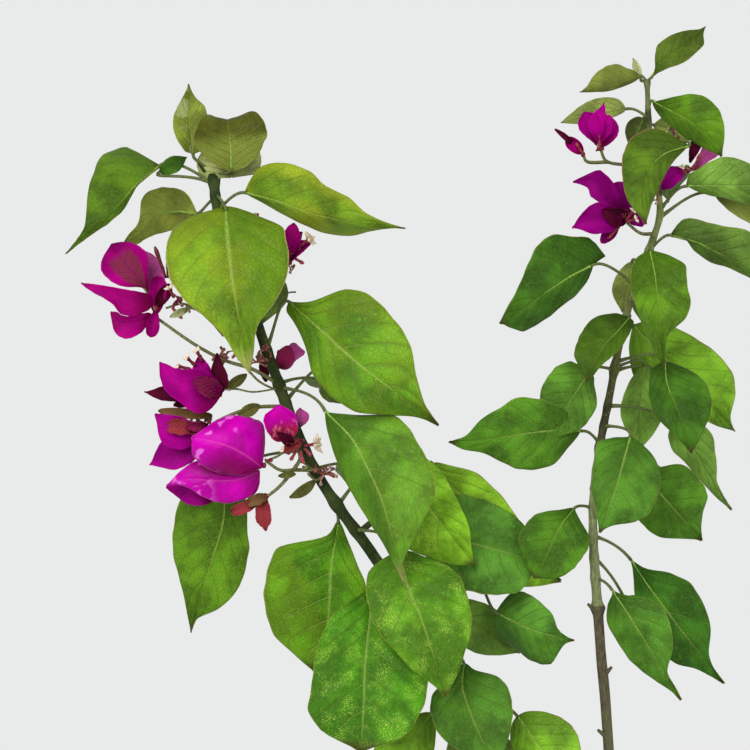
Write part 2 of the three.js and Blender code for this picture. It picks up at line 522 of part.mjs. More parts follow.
// A thin closed blade from its foot to its tip, folded along its midrib and arched. Where its
// base is broad, its two lobes reach back behind the foot. A measured outline is the one seen
// from the front, so its two sides change places where the blade shows its lower side.
function blade(foot, tip, form) {
  const length = foot.distanceTo(tip);
  const along = tip.clone().sub(foot).normalize();
  const facing = EYE.clone().sub(foot);
  facing.addScaledVector(along, -facing.dot(along)).normalize();
  const across = facing.clone().cross(along);
  const roll = THREE.MathUtils.degToRad(form.roll);
  const up = facing.clone().multiplyScalar(Math.cos(roll)).addScaledVector(across, Math.sin(roll));
  const side = across.clone().multiplyScalar(Math.cos(roll)).addScaledVector(facing, -Math.sin(roll));
  const lobe = Math.max(LOBED_BELOW - form.base, 0) * 0.4 * form.wide;
  const turned = Math.cos(roll) < 0;

  const place = (t, edge, raised) => {
    const onLeft = edge > 0;
    const fold = THREE.MathUtils.degToRad((onLeft ? form.foldLeft : form.foldRight) ?? form.fold);
    const reachBack = (onLeft ? form.lobeLeft : form.lobeRight) ?? lobe;
    const bow = 4 * t * (1 - t) * length;
    let middle = form.sweep * bow;
    let half = (form.wide / 2) * bladeWidth(t, form.base, form.point, form.fullness);
    if (form.middle) {
      const margin = eased(MARGIN_STATIONS, onLeft === turned ? form.right : form.left, t);
      middle = eased(MIDRIB_STATIONS, form.middle, t) * (turned ? -1 : 1);
      half = Math.max(margin + (onLeft ? -middle : middle), NARROWEST_HALF) / Math.cos(fold);
    } else {
      half *= (onLeft ? form.left : form.right) ?? 1;
    }
    return foot.clone()
      .addScaledVector(along, t * length - reachBack * Math.abs(edge) * (1 - t) ** 8)
      .addScaledVector(side, edge * half * Math.cos(fold) + middle)
      .addScaledVector(up, Math.abs(edge) * half * Math.sin(fold) + form.arch * bow + raised);
  };

  const half = form.thick / 2;
  const rim = [
    [0, 0], ...form.stations.map((t) => [t, 1]), [1, 0],
    ...form.stations.toReversed().map((t) => [t, -1]),
  ];
  const points = [];
  for (const raised of [half, -half]) {
    for (const [t, edge] of rim) points.push(place(t, edge, raised));
    for (const t of form.stations) points.push(place(t, 0, raised));
  }

  const count = form.stations.length;
  const layer = rim.length + count;
  const plus = (at) => at + 1;
  const minus = (at) => rim.length - 1 - at;
  const middle = (at) => rim.length + at;
  const tipAt = count + 1;
  const faces = [
    [0, plus(0), middle(0)], [0, middle(0), minus(0)],
    [tipAt, middle(count - 1), plus(count - 1)], [tipAt, minus(count - 1), middle(count - 1)],
  ];
  for (let at = 0; at < count - 1; at += 1) {
    faces.push([plus(at), plus(at + 1), middle(at + 1)], [plus(at), middle(at + 1), middle(at)]);
    faces.push([middle(at), middle(at + 1), minus(at + 1)], [middle(at), minus(at + 1), minus(at)]);
  }
  const index = [];
  for (const [a, b, c] of faces) index.push(a, c, b, layer + a, layer + b, layer + c);
  for (let at = 0; at < rim.length; at += 1) {
    const next = (at + 1) % rim.length;
    index.push(at, next, layer + next, at, layer + next, layer + at);
  }
  const geometry = new THREE.BufferGeometry();
  geometry.setAttribute('position', new THREE.Float32BufferAttribute(points.flatMap((p) => p.toArray()), 3));
  geometry.setIndex(index);
  return geometry;
}

// A closed mesh as a solid that can be joined, and back again
function toSolid(geometry) {
  const bare = geometry.clone();
  for (const name of ['normal', 'uv']) bare.deleteAttribute(name);
  const merged = mergeVertices(bare, 1e-4);
  return new wasm.Manifold(new wasm.Mesh({
    numProp: 3,
    vertProperties: Float32Array.from(merged.attributes.position.array),
    triVerts: Uint32Array.from(merged.index.array),
  }));
}

function fused(geometries) {
  const whole = wasm.Manifold.union(geometries.map(toSolid)).simplify(0.1);
  const { vertProperties, triVerts } = whole.getMesh();
  const geometry = new THREE.BufferGeometry();
  geometry.setAttribute('position', new THREE.BufferAttribute(vertProperties, 3));
  geometry.setIndex(new THREE.BufferAttribute(triVerts, 1));
  geometry.computeVertexNormals();
  return geometry;
}

// A leaf: its stalk, rooted in the middle of what it grows from, and its blade
function leaf(root, foot, tip, form) {
  const reach = root.distanceTo(foot);
  const along = tip.clone().sub(foot).normalize();
  const leaving = root.clone().lerp(foot, 0.45).add(new THREE.Vector3(0, 0, reach * 0.14));
  const arriving = foot.clone().addScaledVector(along, -reach * 0.3);
  const path = new THREE.CubicBezierCurve3(root, leaving, arriving, foot);
  const points = path.getPoints(2);
  points.push(foot.clone().addScaledVector(along, 1.5));
  const radii = [1.1, 1, 0.95, 0.4].map((share) => STALK_RADIUS * share);
  return [bar(points, radii, 3), blade(foot, tip, form)];
}

const LEAF_STATIONS = [0.04, 0.22, 0.5, 0.78];
const LOW_LEAF_STATIONS = [0.06, 0.36, 0.72];

function leafFromRow(limb, row) {
  const numbers = row.filter((value) => value === null || typeof value === 'number');
  const outline = row.find((value) => value !== null && typeof value === 'object');
  const [height, footX, footZ, footBack, tipX, tipZ, tipBack] = numbers;
  const [wide, roll, fold, arch, sweep, base, point = LEAF_POINT, fullness = LEAF_FULLNESS] = numbers.slice(7);
  const foot = seen(footX, footZ, footBack);
  const tip = seen(tipX, tipZ, tipBack);
  const form = {
    wide, roll: roll ?? rollToFaceUp(foot, tip), fold, arch, sweep, base, point, fullness,
    thick: LEAF_THICK, stations: LEAF_STATIONS, ...outline,
  };
  return leaf(limbAt(limb, height).centre, foot, tip, form);
}

// A mass of foliage: a length of cane, its side shoot if it has one, and their leaves
function foliage(cane, low, high, leaves, sideShoot = null, sideLeaves = []) {
  const pieces = [limbBar(cane, low + GAP / 2, high - GAP / 2, 8)];
  for (const row of leaves) pieces.push(...leafFromRow(cane, row));
  if (sideShoot) {
    pieces.push(limbBar(sideShoot, sideShoot[0][0], sideShoot.at(-1)[0], 6));
    for (const row of sideLeaves) pieces.push(...leafFromRow(sideShoot, row));
  }
  return fused(pieces);
}

// A flowering twig, which meets its cane with a hair's breadth between them
function floweringTwig({ cane, from, twigs, blooms }) {
  const TWIG_RADIUS = 0.8;
  const root = limbAt(cane, from);
  const pieces = [];
  twigs.forEach((places, at) => {
    const points = places.map((place) => seen(...place));
    if (at === 0) {
      const leaving = points[0].clone().sub(root.centre).normalize();
      const caneWay = limbAt(cane, from + 1).centre.sub(root.centre).normalize();
      const slant = Math.abs(leaving.dot(caneWay));
      const clear = (root.radius + GAP + TWIG_RADIUS * slant) / Math.sqrt(1 - slant ** 2);
      points.unshift(root.centre.clone().addScaledVector(leaving, clear));
    }
    pieces.push(bar(points, points.map(() => TWIG_RADIUS), 4));
  });
  for (const bloom of blooms) {
    const heart = seen(...bloom.heart);
    pieces.push(new THREE.OctahedronGeometry(2, 0).translate(heart.x, heart.y, heart.z));
    for (const [tipX, tipZ, tipBack, wide, roll, outline] of bloom.bracts) {
      const form = {
        wide, roll, fold: 10, arch: 0.12, sweep: 0, base: 0.6, point: 0.7, fullness: BRACT_FULLNESS,
        thick: BRACT_THICK, stations: [0.14, 0.45, 0.8], ...outline,
      };
      const tip = seen(tipX, tipZ, tipBack);
      const foot = tip.clone().sub(heart).setLength(BRACT_START).add(heart);
      pieces.push(blade(foot, tip, form));
    }
  }
  return fused(pieces);
}

// A low shoot: a stem that rises outward from the trunk with leaves to its left and right by
// turns. It keeps to its own sector, above the rim and below the lowest line that is seen.
function lowShoot(number, random) {
  const heading = THREE.MathUtils.degToRad(LOW_SHOOT_TURN + (number * 360) / LOW_SHOOTS);
  const sector = Math.PI / LOW_SHOOTS;
  const rise = LOW_SHOOT_RISE * (0.85 + 0.3 * random());
  const foot = trunkAt(COMPOST_TOP + 10 + 3 * number);
  const start = foot.radius + ROOT_LOBE + GAP;
  const stemAt = (t) => {
    const reach = start + LOW_SHOOT_REACH * t;
    const high = foot.centre.z + 4 * t + rise * t ** 1.4;
    return new THREE.Vector3(
      foot.centre.x + reach * Math.cos(heading), foot.centre.y + reach * Math.sin(heading), high);
  };
  const stops = [0, 0.2, 0.4, 0.6, 0.8, 1].map(stemAt);
  const pieces = [bar(stops, stops.map((_, at) => LOW_SHOOT_RADIUS * (1 - 0.1 * at)), 6)];
  for (let at = 0; at < LOW_SHOOT_LEAVES; at += 1) {
    const t = 0.3 + (0.7 * at) / (LOW_SHOOT_LEAVES - 1);
    const turn = (at % 2 ? 1 : -1) * (0.35 + 0.3 * random()) * (at === LOW_SHOOT_LEAVES - 1 ? 0.1 : 1);
    const long = 34 + 14 * random();
    const dip = 0.15 + 0.5 * random();
    const root = stemAt(t);
    const way = new THREE.Vector3(Math.cos(heading + turn), Math.sin(heading + turn), 0);
    const leafFoot = root.clone().addScaledVector(way, 12).add(new THREE.Vector3(0, 0, 5));
    const tip = leafFoot.clone().addScaledVector(way, long * Math.cos(dip));
    tip.z -= long * Math.sin(dip);
    const form = {
      wide: long * 0.66, roll: 0, fold: 10, arch: 0.06, sweep: 0, base: 0.5, point: LEAF_POINT,
      fullness: LEAF_FULLNESS, thick: LEAF_THICK, stations: LOW_LEAF_STATIONS,
    };
    form.roll = rollToFaceUp(leafFoot, tip);
    const made = leaf(root, leafFoot, tip, form);
    if (keepsToItsSpace(made[1], foot.centre, heading, sector)) pieces.push(...made);
  }
  return fused(pieces);
}

// The roll that turns a blade's upper side to the sky
function rollToFaceUp(foot, tip) {
  const along = tip.clone().sub(foot).normalize();
  const facing = EYE.clone().sub(foot);
  facing.addScaledVector(along, -facing.dot(along)).normalize();
  const across = facing.clone().cross(along);
  return THREE.MathUtils.radToDeg(Math.atan2(across.z, facing.z));
}

// Whether a blade stays in its sector, over the rim, under the lowest line seen and off the cane
function keepsToItsSpace(geometry, middle, heading, sector) {
  const corner = new THREE.Vector3();
  const positions = geometry.attributes.position;
  for (let at = 0; at < positions.count; at += 1) {
    corner.fromBufferAttribute(positions, at);
    const east = corner.x - middle.x;
    const north = corner.y - middle.y;
    const ahead = east * Math.cos(heading) + north * Math.sin(heading);
    const aside = Math.abs(north * Math.cos(heading) - east * Math.sin(heading));
    const ceiling = EYE.z - (LOWEST_SEEN * (EYE_DISTANCE + corner.y)) / EYE_DISTANCE;
    if (aside > ahead * Math.tan(sector) - 1 || corner.z > ceiling - 3) return false;
    if (Math.hypot(corner.x, corner.y) < POT_TOP_RADIUS + 8 && corner.z < POT_HEIGHT + 2) return false;
    const cane = limbAt(LEFT_CANE, Math.max(corner.z, FORK_HEIGHT));
    if (Math.hypot(corner.x - cane.centre.x, corner.y - cane.centre.y) < 9) return false;
  }
  return true;
}

// The trunk's place and radius at a height: it flares at its foot and leans a little
function trunkAt(height) {
  const t = (height - COMPOST_TOP) / (FORK_HEIGHT - COMPOST_TOP);
  const flare = (1 - t) ** 3;
  return {
    centre: new THREE.Vector3(-TRUNK_LEAN * (1 - t), 0, height),
    radius: TRUNK_TOP_RADIUS + (TRUNK_FOOT_RADIUS - TRUNK_TOP_RADIUS) * flare,
  };
}

function trunk() {
  const rings = [0, 0.08, 0.2, 0.4, 0.65, 1].map((t) => {
    const low = COMPOST_TOP + GAP;
    const { centre, radius } = trunkAt(low + (FORK_HEIGHT - GAP - low) * t);
    return Array.from({ length: 16 }, (_, side) => {
      const turn = (side * Math.PI) / 8;
      const root = radius + (1 - t) ** 4 * ROOT_LOBE * Math.cos(5 * turn);
      return new THREE.Vector3(centre.x + root * Math.cos(turn), root * Math.sin(turn), centre.z);
    });
  });
  return skinOver(rings);
}

// The pot is turned round its axis, which a lathe gives about Y: it is stood up on Z
function turned(profile, segments) {
  const points = profile.map(([radius, height]) => new THREE.Vector2(radius, height));
  return new THREE.LatheGeometry(points, segments).rotateX(Math.PI / 2);
}

function potRadius(height) {
  return POT_FOOT_RADIUS + ((POT_TOP_RADIUS - POT_FOOT_RADIUS) * height) / POT_HEIGHT;
}

function pot() {
  const rimFoot = POT_HEIGHT - RIM_HEIGHT;
  return turned([
    [0, 0], [POT_FOOT_RADIUS, 0], [potRadius(rimFoot), rimFoot], [potRadius(rimFoot) + RIM_PROUD, rimFoot],
    [POT_TOP_RADIUS + RIM_PROUD, POT_HEIGHT - 2], [POT_TOP_RADIUS + RIM_PROUD - 2, POT_HEIGHT],
    [POT_TOP_RADIUS - POT_WALL, POT_HEIGHT], [potRadius(POT_FLOOR) - POT_WALL, POT_FLOOR], [0, POT_FLOOR],
  ], 40);
}

function compost() {
  const low = POT_FLOOR + GAP;
  const inside = (height) => {
    const share = (height - POT_FLOOR) / (POT_HEIGHT - POT_FLOOR);
    const foot = potRadius(POT_FLOOR) - POT_WALL;
    return foot + (POT_TOP_RADIUS - POT_WALL - foot) * share - GAP;
  };
  return turned([[0, low], [inside(low), low], [inside(COMPOST_TOP), COMPOST_TOP], [0, COMPOST_TOP]], 40);
}

const group = new THREE.Group();

function place(name, geometry, color, roughness) {
  const mesh = new THREE.Mesh(geometry, new THREE.MeshStandardMaterial({ color, roughness, metalness: 0 }));
  mesh.name = name;
  group.add(mesh);
}

place('pot', pot(), TERRACOTTA, 0.85);
place('compost', compost(), COMPOST, 0.95);
place('trunk', trunk(), BARK, 0.9);

// Where each cane's bare wood ends and where its masses of leaves meet
const LEFT_CUTS = [236, 388, 498, 578];
const RIGHT_CUTS = [362, 420, 514, 625];
place('left_bough', limbBar(LEFT_CANE, FORK_HEIGHT, LEFT_CUTS[0] - GAP / 2, 8, true), BARK, 0.9);
place('right_bough', limbBar(RIGHT_CANE, FORK_HEIGHT, RIGHT_CUTS[0] - GAP / 2, 8, true), BARK, 0.9);

const leftFoot = foliage(
  LEFT_CANE, LEFT_CUTS[0], LEFT_CUTS[1], LEFT_FOOT_LEAVES, LOW_SIDE_SHOOT, LOW_SIDE_LEAVES);
const leftMiddle = foliage(
  LEFT_CANE, LEFT_CUTS[1], LEFT_CUTS[2], LEFT_MIDDLE_LEAVES, HIGH_SIDE_SHOOT, HIGH_SIDE_LEAVES);
place('left_foliage_low', leftFoot, LEAF_GREEN, 0.5);
place('left_foliage_middle', leftMiddle, LEAF_GREEN, 0.5);
place('left_foliage_top', foliage(LEFT_CANE, LEFT_CUTS[2], LEFT_CUTS[3], LEFT_TOP_LEAVES), LEAF_GREEN, 0.5);

const rightFoot = foliage(RIGHT_CANE, RIGHT_CUTS[0], RIGHT_CUTS[1], RIGHT_FOOT_LEAVES);
const rightMiddle = foliage(RIGHT_CANE, RIGHT_CUTS[1], RIGHT_CUTS[2], RIGHT_MIDDLE_LEAVES);
const rightTop = foliage(RIGHT_CANE, RIGHT_CUTS[2], RIGHT_CUTS[3], RIGHT_TOP_LEAVES);
place('right_foliage_low', rightFoot, DEEP_GREEN, 0.5);
place('right_foliage_middle', rightMiddle, DEEP_GREEN, 0.5);
place('right_foliage_top', rightTop, DEEP_GREEN, 0.5);

for (const twig of FLOWERING_TWIGS) place(twig.name, floweringTwig(twig), MAGENTA, 0.6);

const random = seededNumbers(SEED);
for (let number = 0; number < LOW_SHOOTS; number += 1) {
  place(`low_foliage_${number + 1}`, lowShoot(number, random), DEEP_GREEN, 0.5);
}

export default group;
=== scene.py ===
# Dresses the potted bougainvillea: fine leaves with veins and stalks, papery bracts and small
# flowers, canes and trunk with their bark, low shoots, compost and a terracotta pot.
# Sizes are in millimetres, as in the part's source, and become metres when a mesh is made.

import math
import random

import bmesh
import bpy
import numpy as np
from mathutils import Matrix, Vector, noise


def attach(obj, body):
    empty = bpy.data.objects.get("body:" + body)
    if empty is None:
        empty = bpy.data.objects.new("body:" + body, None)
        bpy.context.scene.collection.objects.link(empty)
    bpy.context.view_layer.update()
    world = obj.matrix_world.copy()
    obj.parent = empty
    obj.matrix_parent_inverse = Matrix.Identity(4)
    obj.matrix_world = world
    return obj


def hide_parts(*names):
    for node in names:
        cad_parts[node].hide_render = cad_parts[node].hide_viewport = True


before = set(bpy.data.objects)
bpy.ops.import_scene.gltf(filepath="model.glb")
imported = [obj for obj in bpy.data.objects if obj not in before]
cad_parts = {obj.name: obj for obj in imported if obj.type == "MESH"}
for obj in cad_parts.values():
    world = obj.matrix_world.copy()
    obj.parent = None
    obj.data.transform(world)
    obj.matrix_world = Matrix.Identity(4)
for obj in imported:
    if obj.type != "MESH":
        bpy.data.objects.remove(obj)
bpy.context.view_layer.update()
MM = 0.001

# The pot, the compost and the trunk, and the gap between parts that only stand side by side
POT_HEIGHT = 155
POT_FOOT_RADIUS = 65
POT_TOP_RADIUS = 90
POT_WALL = 7
POT_FLOOR = 9
RIM_HEIGHT = 32
RIM_PROUD = 5
COMPOST_TOP = 140
GAP = 0.3
TRUNK_FOOT_RADIUS = 12
TRUNK_TOP_RADIUS = 8.2
FORK_HEIGHT = 172
BOUGH_OVERLAP = 5
TRUNK_LEAN = 3
ROOT_LOBE = 1.2

# A leaf's build
LEAF_THICK = 1.2
LEAF_POINT = 1.4
LEAF_FULLNESS = 2.8
LOBED_BELOW = 0.55
MARGIN_STATIONS = [0, 0.02, 0.08, 0.22, 0.36, 0.5, 0.64, 0.78, 0.9, 1]
MIDRIB_STATIONS = [0, 0.25, 0.5, 0.75, 1]
STALK_RADIUS = 0.9
BRACT_START = 0.8
FINE_LEAF_THICK = 0.5
FINE_BRACT_THICK = 0.3
BRACT_FULLNESS = 1.7
LOBE_SHARE = 0.4
LOBE_FADE = 8
LEAST_HALF_WIDTH = 0.2
FLATTEST_CUP = 0.5

# How the fine meshes are divided: the rows of a blade's grid crowd at its foot, its colour map
# keeps a margin round each cell, and limbs, the pot and the compost have so many sides
ROW_CROWDING = 1.15
MAP_MARGIN = 0.02
STALK_RINGS = 13
LIMB_STEP = 1.5
CANE_SIDES = 14
SHOOT_SIDES = 10
BOUGH_SIDES = 20
TRUNK_SIDES = 48
TRUNK_RINGS = 60
POT_SIDES = 144
COMPOST_SIDES = 150
COMPOST_RINGS = 46
CRUMBS = 620

# A cane is swollen where a stalk leaves it: by what share of its radius, and over what length
NODE_SWELLING = 0.16
NODE_LENGTH = 2.6

# How deep the bark's furrows are, as a share of the radius
BOUGH_FURROWS = 0.045
CANE_FURROWS = 0.035
SHOOT_FURROWS = 0.03
LOW_SHOOT_FURROWS = 0.04
TRUNK_FURROWS = 0.035
TRUNK_CRACKS = 0.03

# The side veins of a blade: how many, how far they rise towards the tip, and their bend
VEINS = 6.5
VEIN_RISE = 0.36
VEIN_BEND = 1.15

# Where the plant is looked at from. Places in the tables are the ones seen from here on the
# upright plane through the trunk, and "back" is how far behind that plane the thing really is.
EYE = np.array([-112.5, -800.0, 477.5])
EYE_DISTANCE = 800
LOWEST_SEEN = 187.5
FRAME_WIDTH = 375

# The studio: the camera's sensor, the floor in metres, and the light all round
SENSOR_WIDTH = 36
FLOOR_RADIUS = 1.1
FLOOR_SIDES = 96
WORLD_COLOUR = (0.99, 1.0, 1.0, 1)
WORLD_STRENGTH = 0.825

# The canes and side shoots: height, place across, how far back, radius
LEFT_CANE = [
    [172, -4.4, 0, 3.8], [205, -14, 0, 3.5], [265, -40, 0, 3.2], [325, -72, 0, 3.0], [384, -111, 0, 2.8],
    [429, -142, 0, 2.7], [485, -165, 0, 2.6], [537, -182, 0, 2.4], [560, -191, 0, 2.3],
    [578, -193.5, 0, 2.0],
]
RIGHT_CANE = [
    [172, 4.4, 0, 3.4], [240, 6, 4, 2.9], [296, 4, 8, 2.6], [361, -1.2, 12, 2.5], [417, -3.2, 16, 2.1],
    [475, 6.3, 20, 1.9], [510, 14, 23, 1.8], [544, 26, 26, 1.7], [560, 30, 27, 1.6], [598, 24.8, 29, 1.4],
    [625, 23.5, 30, 1.2],
]
HIGH_SIDE_SHOOT = [[398, -121, 0, 1.7], [414, -103, 12, 1.5], [434, -84, 24, 1.1]]
LOW_SIDE_SHOOT = [[350, -90, 0, 1.7], [364, -76, 14, 1.5], [376, -60, 26, 1.1]]

# Heights at which a length of each cane begins or ends
LEFT_CUTS = [236, 388, 498, 578]
RIGHT_CUTS = [362, 420, 514, 625]


def outline(left, right, mid=(0, 0, 0), **look):
    """A blade's margins and midrib as read at their stations, and what else is special about it."""
    return {"left": left, "right": right, "mid": mid, **look}


# The leaves: tint; height on the shoot where the stalk leaves it; the blade's foot across, high
# and back; its tip across, high and back; width; roll; fold; arch; sweep; slimness of the base,
# then of the point and the fullness where they aren't the usual ones. A leaf that is seen well
# has its margins' distances from the straight line between foot and tip, at MARGIN_STATIONS, on
# the left and on the right hand of someone who looks from the foot to the tip, and its midrib's
# to the left of that line, at MIDRIB_STATIONS. Where no roll is given, the upper side faces up.
LEFT_TOP_LEAVES = [
    ["young", 577, -203.5, 588, 0, -205.5, 623.5, 6, 18, 0, 10, 0.02, 0, 0.6,
     outline([3.5, 5.1, 7.9, 9.1, 8.7, 6.6, 3.7, 1.6], [3, 6, 8.5, 9, 8.4, 7.3, 3.1, 1.1],
             [0.6, 1.1, 0.6], fold_left=25)],
    ["dusk", 576, -184.5, 581, -6, -186.5, 608.5, -4, 37, 0, 8, 0.16, 0, 0.42,
     outline([2.5, 7, 13, 16.3, 17.2, 16.2, 13, 8], [6, 10, 14.6, 17, 19, 18.6, 15.5, 9.5],
             [-0.5, -0.3, 0], fold_left=11, fold_right=10, cup=8, quilt=0.2, curl=85, curl_from=0.66)],
    ["youngest", 576, -184.5, 578, -2, -187, 597, 6, 35, 0, 4, 0.02, 0, 0.42,
     outline([8, 13, 16, 16.5, 16, 14, 11, 7], [13.5, 14.5, 15.6, 16, 16, 14, 11, 7], cup=-20)],
    ["moss", 573, -221, 581.5, -6, -267, 538.5, -28, 30, 0, 8, 0.1, 0, 0.42,
     outline([0.6, -0.6, -0.4, 1.8, 3.9, 3.4, 2, 1], [17, 20.2, 22.8, 19.8, 15.4, 8.8, 2.8, 0.9],
             [-0.8, 0.6, 0.5], fold_left=30, fold_right=-24, cup=-24)],
    ["sallow", 566, -201.5, 558, 6, -237.5, 543.5, 26, 24, 180, 8, 0.06, 0, 0.5,
     outline([0.5, 0.7, 1.7, 3, 2.6, 1.9, 2.1, 2.8], [8.5, 13, 17, 19.5, 19.8, 17, 6.8, 3.6],
             [-5, -7, -3], wavy=1.2)],
    ["lime", 568, -187, 559.5, -8, -175.2, 479, -38, 59, 0, 5, 0.05, 0, 0.42,
     outline([5, 14, 27, 27.2, 23.8, 16, 6.1, 3.3], [17, 28.3, 32.2, 31.9, 27.5, 17.5, 9.2, 5.3],
             [-1.3, -1.8, -1.2], cup=-14, fold_left=12, fold_right=0)],
    ["lemon", 560, -176.5, 568.5, -8, -97.5, 551, -34, 30, 0, 8, 0.05, 0, 0.42,
     outline([7, 15, 18.4, 17.1, 11.5, 8.9, 2.6, 0.6], [1, 2.5, 6.4, 9.3, 11, 9.8, 5.6, 2.2],
             [-1, -3, -2.5], fold_left=5, fold_right=-52, cup=-10)],
    ["dark", 573, -220, 579, -5, -206.5, 586.5, -3, 8, 0, 10, 0.05, 0, 0.5],
    ["deep", 546, -184, 552, 12, -192, 508, 58, 44, 176, 10, 0.08, 0, 0.5],
    ["deep", 522, -168, 528, 14, -178, 496, 62, 34, 190, 12, 0.08, 0, 0.5],
    ["mid", 540, -181, 545, 14, -188, 522, 92, 36, None, 10, 0.06, 0, 0.5],
]
LEFT_MIDDLE_LEAVES = [
    ["fresh", 490, -154.5, 513.5, -6, -81.7, 453.2, -34, 48, 0, 6, 0.05, 0, 0.46,
     outline([1, 5.5, 23.3, 27.6, 26, 21.8, 10.9, 3.3], [4.5, 6.2, 12.2, 20.4, 22.5, 20.9, 12.2, 3.6],
             [-1.2, -1.8, -1], cup=-18, fold_left=14, fold_right=2)],
    ["apple", 471, -137.5, 459.5, -18, -97, 371.5, -56, 38, 0, 12, 0.05, 0, 0.6,
     outline([1.9, 10.6, 31, 33.9, 34.5, 32, 17, 2.6], [1, 2.8, 4.8, 5.2, 4.3, 2.8, 1.1, 0.7],
             [6.5, 7, 4], cup=-12, fold_left=10, fold_right=-30)],
    ["mid", 440, -187.5, 423, 10, -205, 348, 30, 38, 0, 8, 0.04, 0, 0.5,
     outline([8, 13, 16, 19.7, 19.9, 17.6, 11, 1.3], [9, 17, 20.9, 20.3, 17.9, 12.4, 6.8, 3.1],
             [3.6, 2, 0.6], cup=-12, fold_left=18, fold_right=-4)],
    ["grass", 414, -131, 403, 5, -142.5, 328, 16, 52, 0, 6, 0.05, 0, 0.45,
     outline([1.8, 5, 12.3, 18.8, 20, 18, 13, 6], [1.2, 3.8, 28.9, 31.5, 31.8, 29.3, 23.9, 11],
             [0, 1.8, 2.8], fold_left=14, fold_right=0)],
    ["dotted", 400, -100, 389, -24, -77, 317, -50, 46, 0, 8, 0.05, 0, 0.5,
     outline([4, 9.6, 21, 24.4, 24, 21.2, 14.5, 7.7], [9.7, 18, 21.8, 22.4, 20.6, 16.3, 11.5, 4.7],
             [-1.5, 0, 0], cup=-16)],
    ["deep", 412, -110, 432, 16, -102, 394, 60, 30, 180, 10, 0.08, 0, 0.5],
    ["deep", 464, -135, 482, 16, -112, 466, 60, 32, 180, 10, 0.08, 0, 0.5],
    ["mid", 473, -140, 475, 14, -118, 461, 92, 36, None, 10, 0.06, 0, 0.5],
    ["deep", 430, -122, 432, 16, -112, 412, 98, 32, None, 10, 0.06, 0, 0.5],
]
HIGH_SIDE_LEAVES = [
    ["freckled", 415, -108, 440, 8, -62.5, 382.5, -4, 38, 0, 8, 0.05, 0, 0.5,
     outline([5, 11, 14, 16, 14.4, 12.3, 9.4, 3.8], [6, 13, 19, 22, 22, 20.9, 15.2, 8.9])],
    ["lit", 433, -85, 432, 30, -19, 374.2, 56, 30, 0, 8, 0.05, 0, 0.42,
     outline([3.4, 7, 13.5, 13, 10.5, 7, 3.5, 1], [3, 8, 14, 18, 20, 22, 18, 10], [0, -3, -4])],
    ["blue", 423, -84, 399, 16, -30, 384.2, 8, 49, 0, 6, 0.04, 0, 0.42,
     outline([10, 21.6, 23, 23, 21.9, 20, 15.7, 5], [8, 18, 22, 23.6, 23.4, 22.5, 20.3, 17],
             fold_left=-8, fold_right=22)],
]
LEFT_FOOT_LEAVES = [
    ["speckled", 376, -113, 372, -14, -119.5, 289.5, -46, 58, 0, 6, 0.05, 0, 1.2, 0.7,
     outline([3, 8, 20, 27, 29, 29, 25.8, 20], [2.5, 8, 19.3, 23.6, 25.6, 26, 26.8, 20],
             [-1, -1.5, -0.5])],
    ["cool", 345, -68, 333, -12, -52.5, 277.5, -34, 39, 0, 8, 0.05, 0, 0.5,
     outline([1.5, 4, 15, 17.8, 17, 14, 9.5, 4], [2, 8, 19.3, 21.7, 21.5, 18, 10.4, 4], [-4, -3, -1],
             fold_left=0, fold_right=14)],
    ["bright", 316, -41, 306.5, -8, -12.5, 268, -22, 37, 0, 10, 0.05, 0, 0.5, {"fold_right": -30}],
    ["bright", 330, -84.5, 308.5, 9, -112.5, 270, 26, 28, 10, 10, 0.05, 0, 0.6],
    ["deep", 362, -104, 350, 14, -118, 312, 58, 42, 178, 10, 0.08, 0, 0.5],
    ["deep", 300, -56, 300, 14, -64, 262, 52, 38, 180, 10, 0.08, 0, 0.5],
    ["mid", 282, -68, 276, -8, -88, 222, -34, 44, 0, 8, 0.05, 0, 0.5],
    ["mid", 262, -24, 268, -6, -4, 222, -26, 38, 0, 8, 0.05, 0, 0.5],
    ["deep", 372, -108, 365, 14, -118, 345, 94, 38, None, 10, 0.06, 0, 0.5],
    ["mid", 270, -52, 266, -12, -62, 236, -80, 38, None, 10, 0.06, 0, 0.5],
]
LOW_SIDE_LEAVES = [
    ["blue", 375, -50, 357.5, 16, -13, 344.7, 6, 36, 0, 8, 0.05, 0, 0.36,
     outline([5, 12, 15, 14.2, 11.8, 8.9, 2.5, 0.8], [7, 11, 13, 14.5, 16.7, 17, 15.2, 3.2],
             [-1, -1.5, -1], fold_left=4, fold_right=-36)],
    ["mint", 370, -77, 361.5, 30, -40, 338.5, 40, 25, 0, 8, 0.05, 0, 0.42],
]
RIGHT_FOOT_LEAVES = [
    ["cool", 376, 6, 370, 4, 40.5, 315, -14, 29, 0, 8, 0.04, 0, 0.6,
     outline([0.8, 3.6, 13.4, 16.5, 14.5, 9.9, 1.4, 0.8], [0.5, 6, 11.2, 11.5, 11.4, 9.2, 5.5, 2],
             [0.5, 0.5, 0.3], fold_left=10, fold_right=-28)],
    ["darkest", 397, 15.5, 385, 18, 63, 322, 34, 31, 0, 10, 0.04, 0, 0.55,
     outline([0.8, 2.7, 12.6, 17.5, 16.1, 11.8, 2.4, 0.2], [0.8, 4.1, 11.7, 17, 17, 14, 6.7, 2.9],
             [-1, -1, -0.5], fold_left=-14, fold_right=16)],
    ["deep", 411, -13.5, 410, 10, -33, 376, 0, 30, 0, 10, 0.05, 0, 0.42,
     outline([1, 5, 13.7, 16, 15.6, 15, 12.6, 8], [1.4, 4.7, 11.9, 16, 17, 17, 13, 7], [-1.5, -1, 0])],
    ["deep", 386, 12, 366, 26, 24, 338, 60, 24, 178, 10, 0.08, 0, 0.5],
]
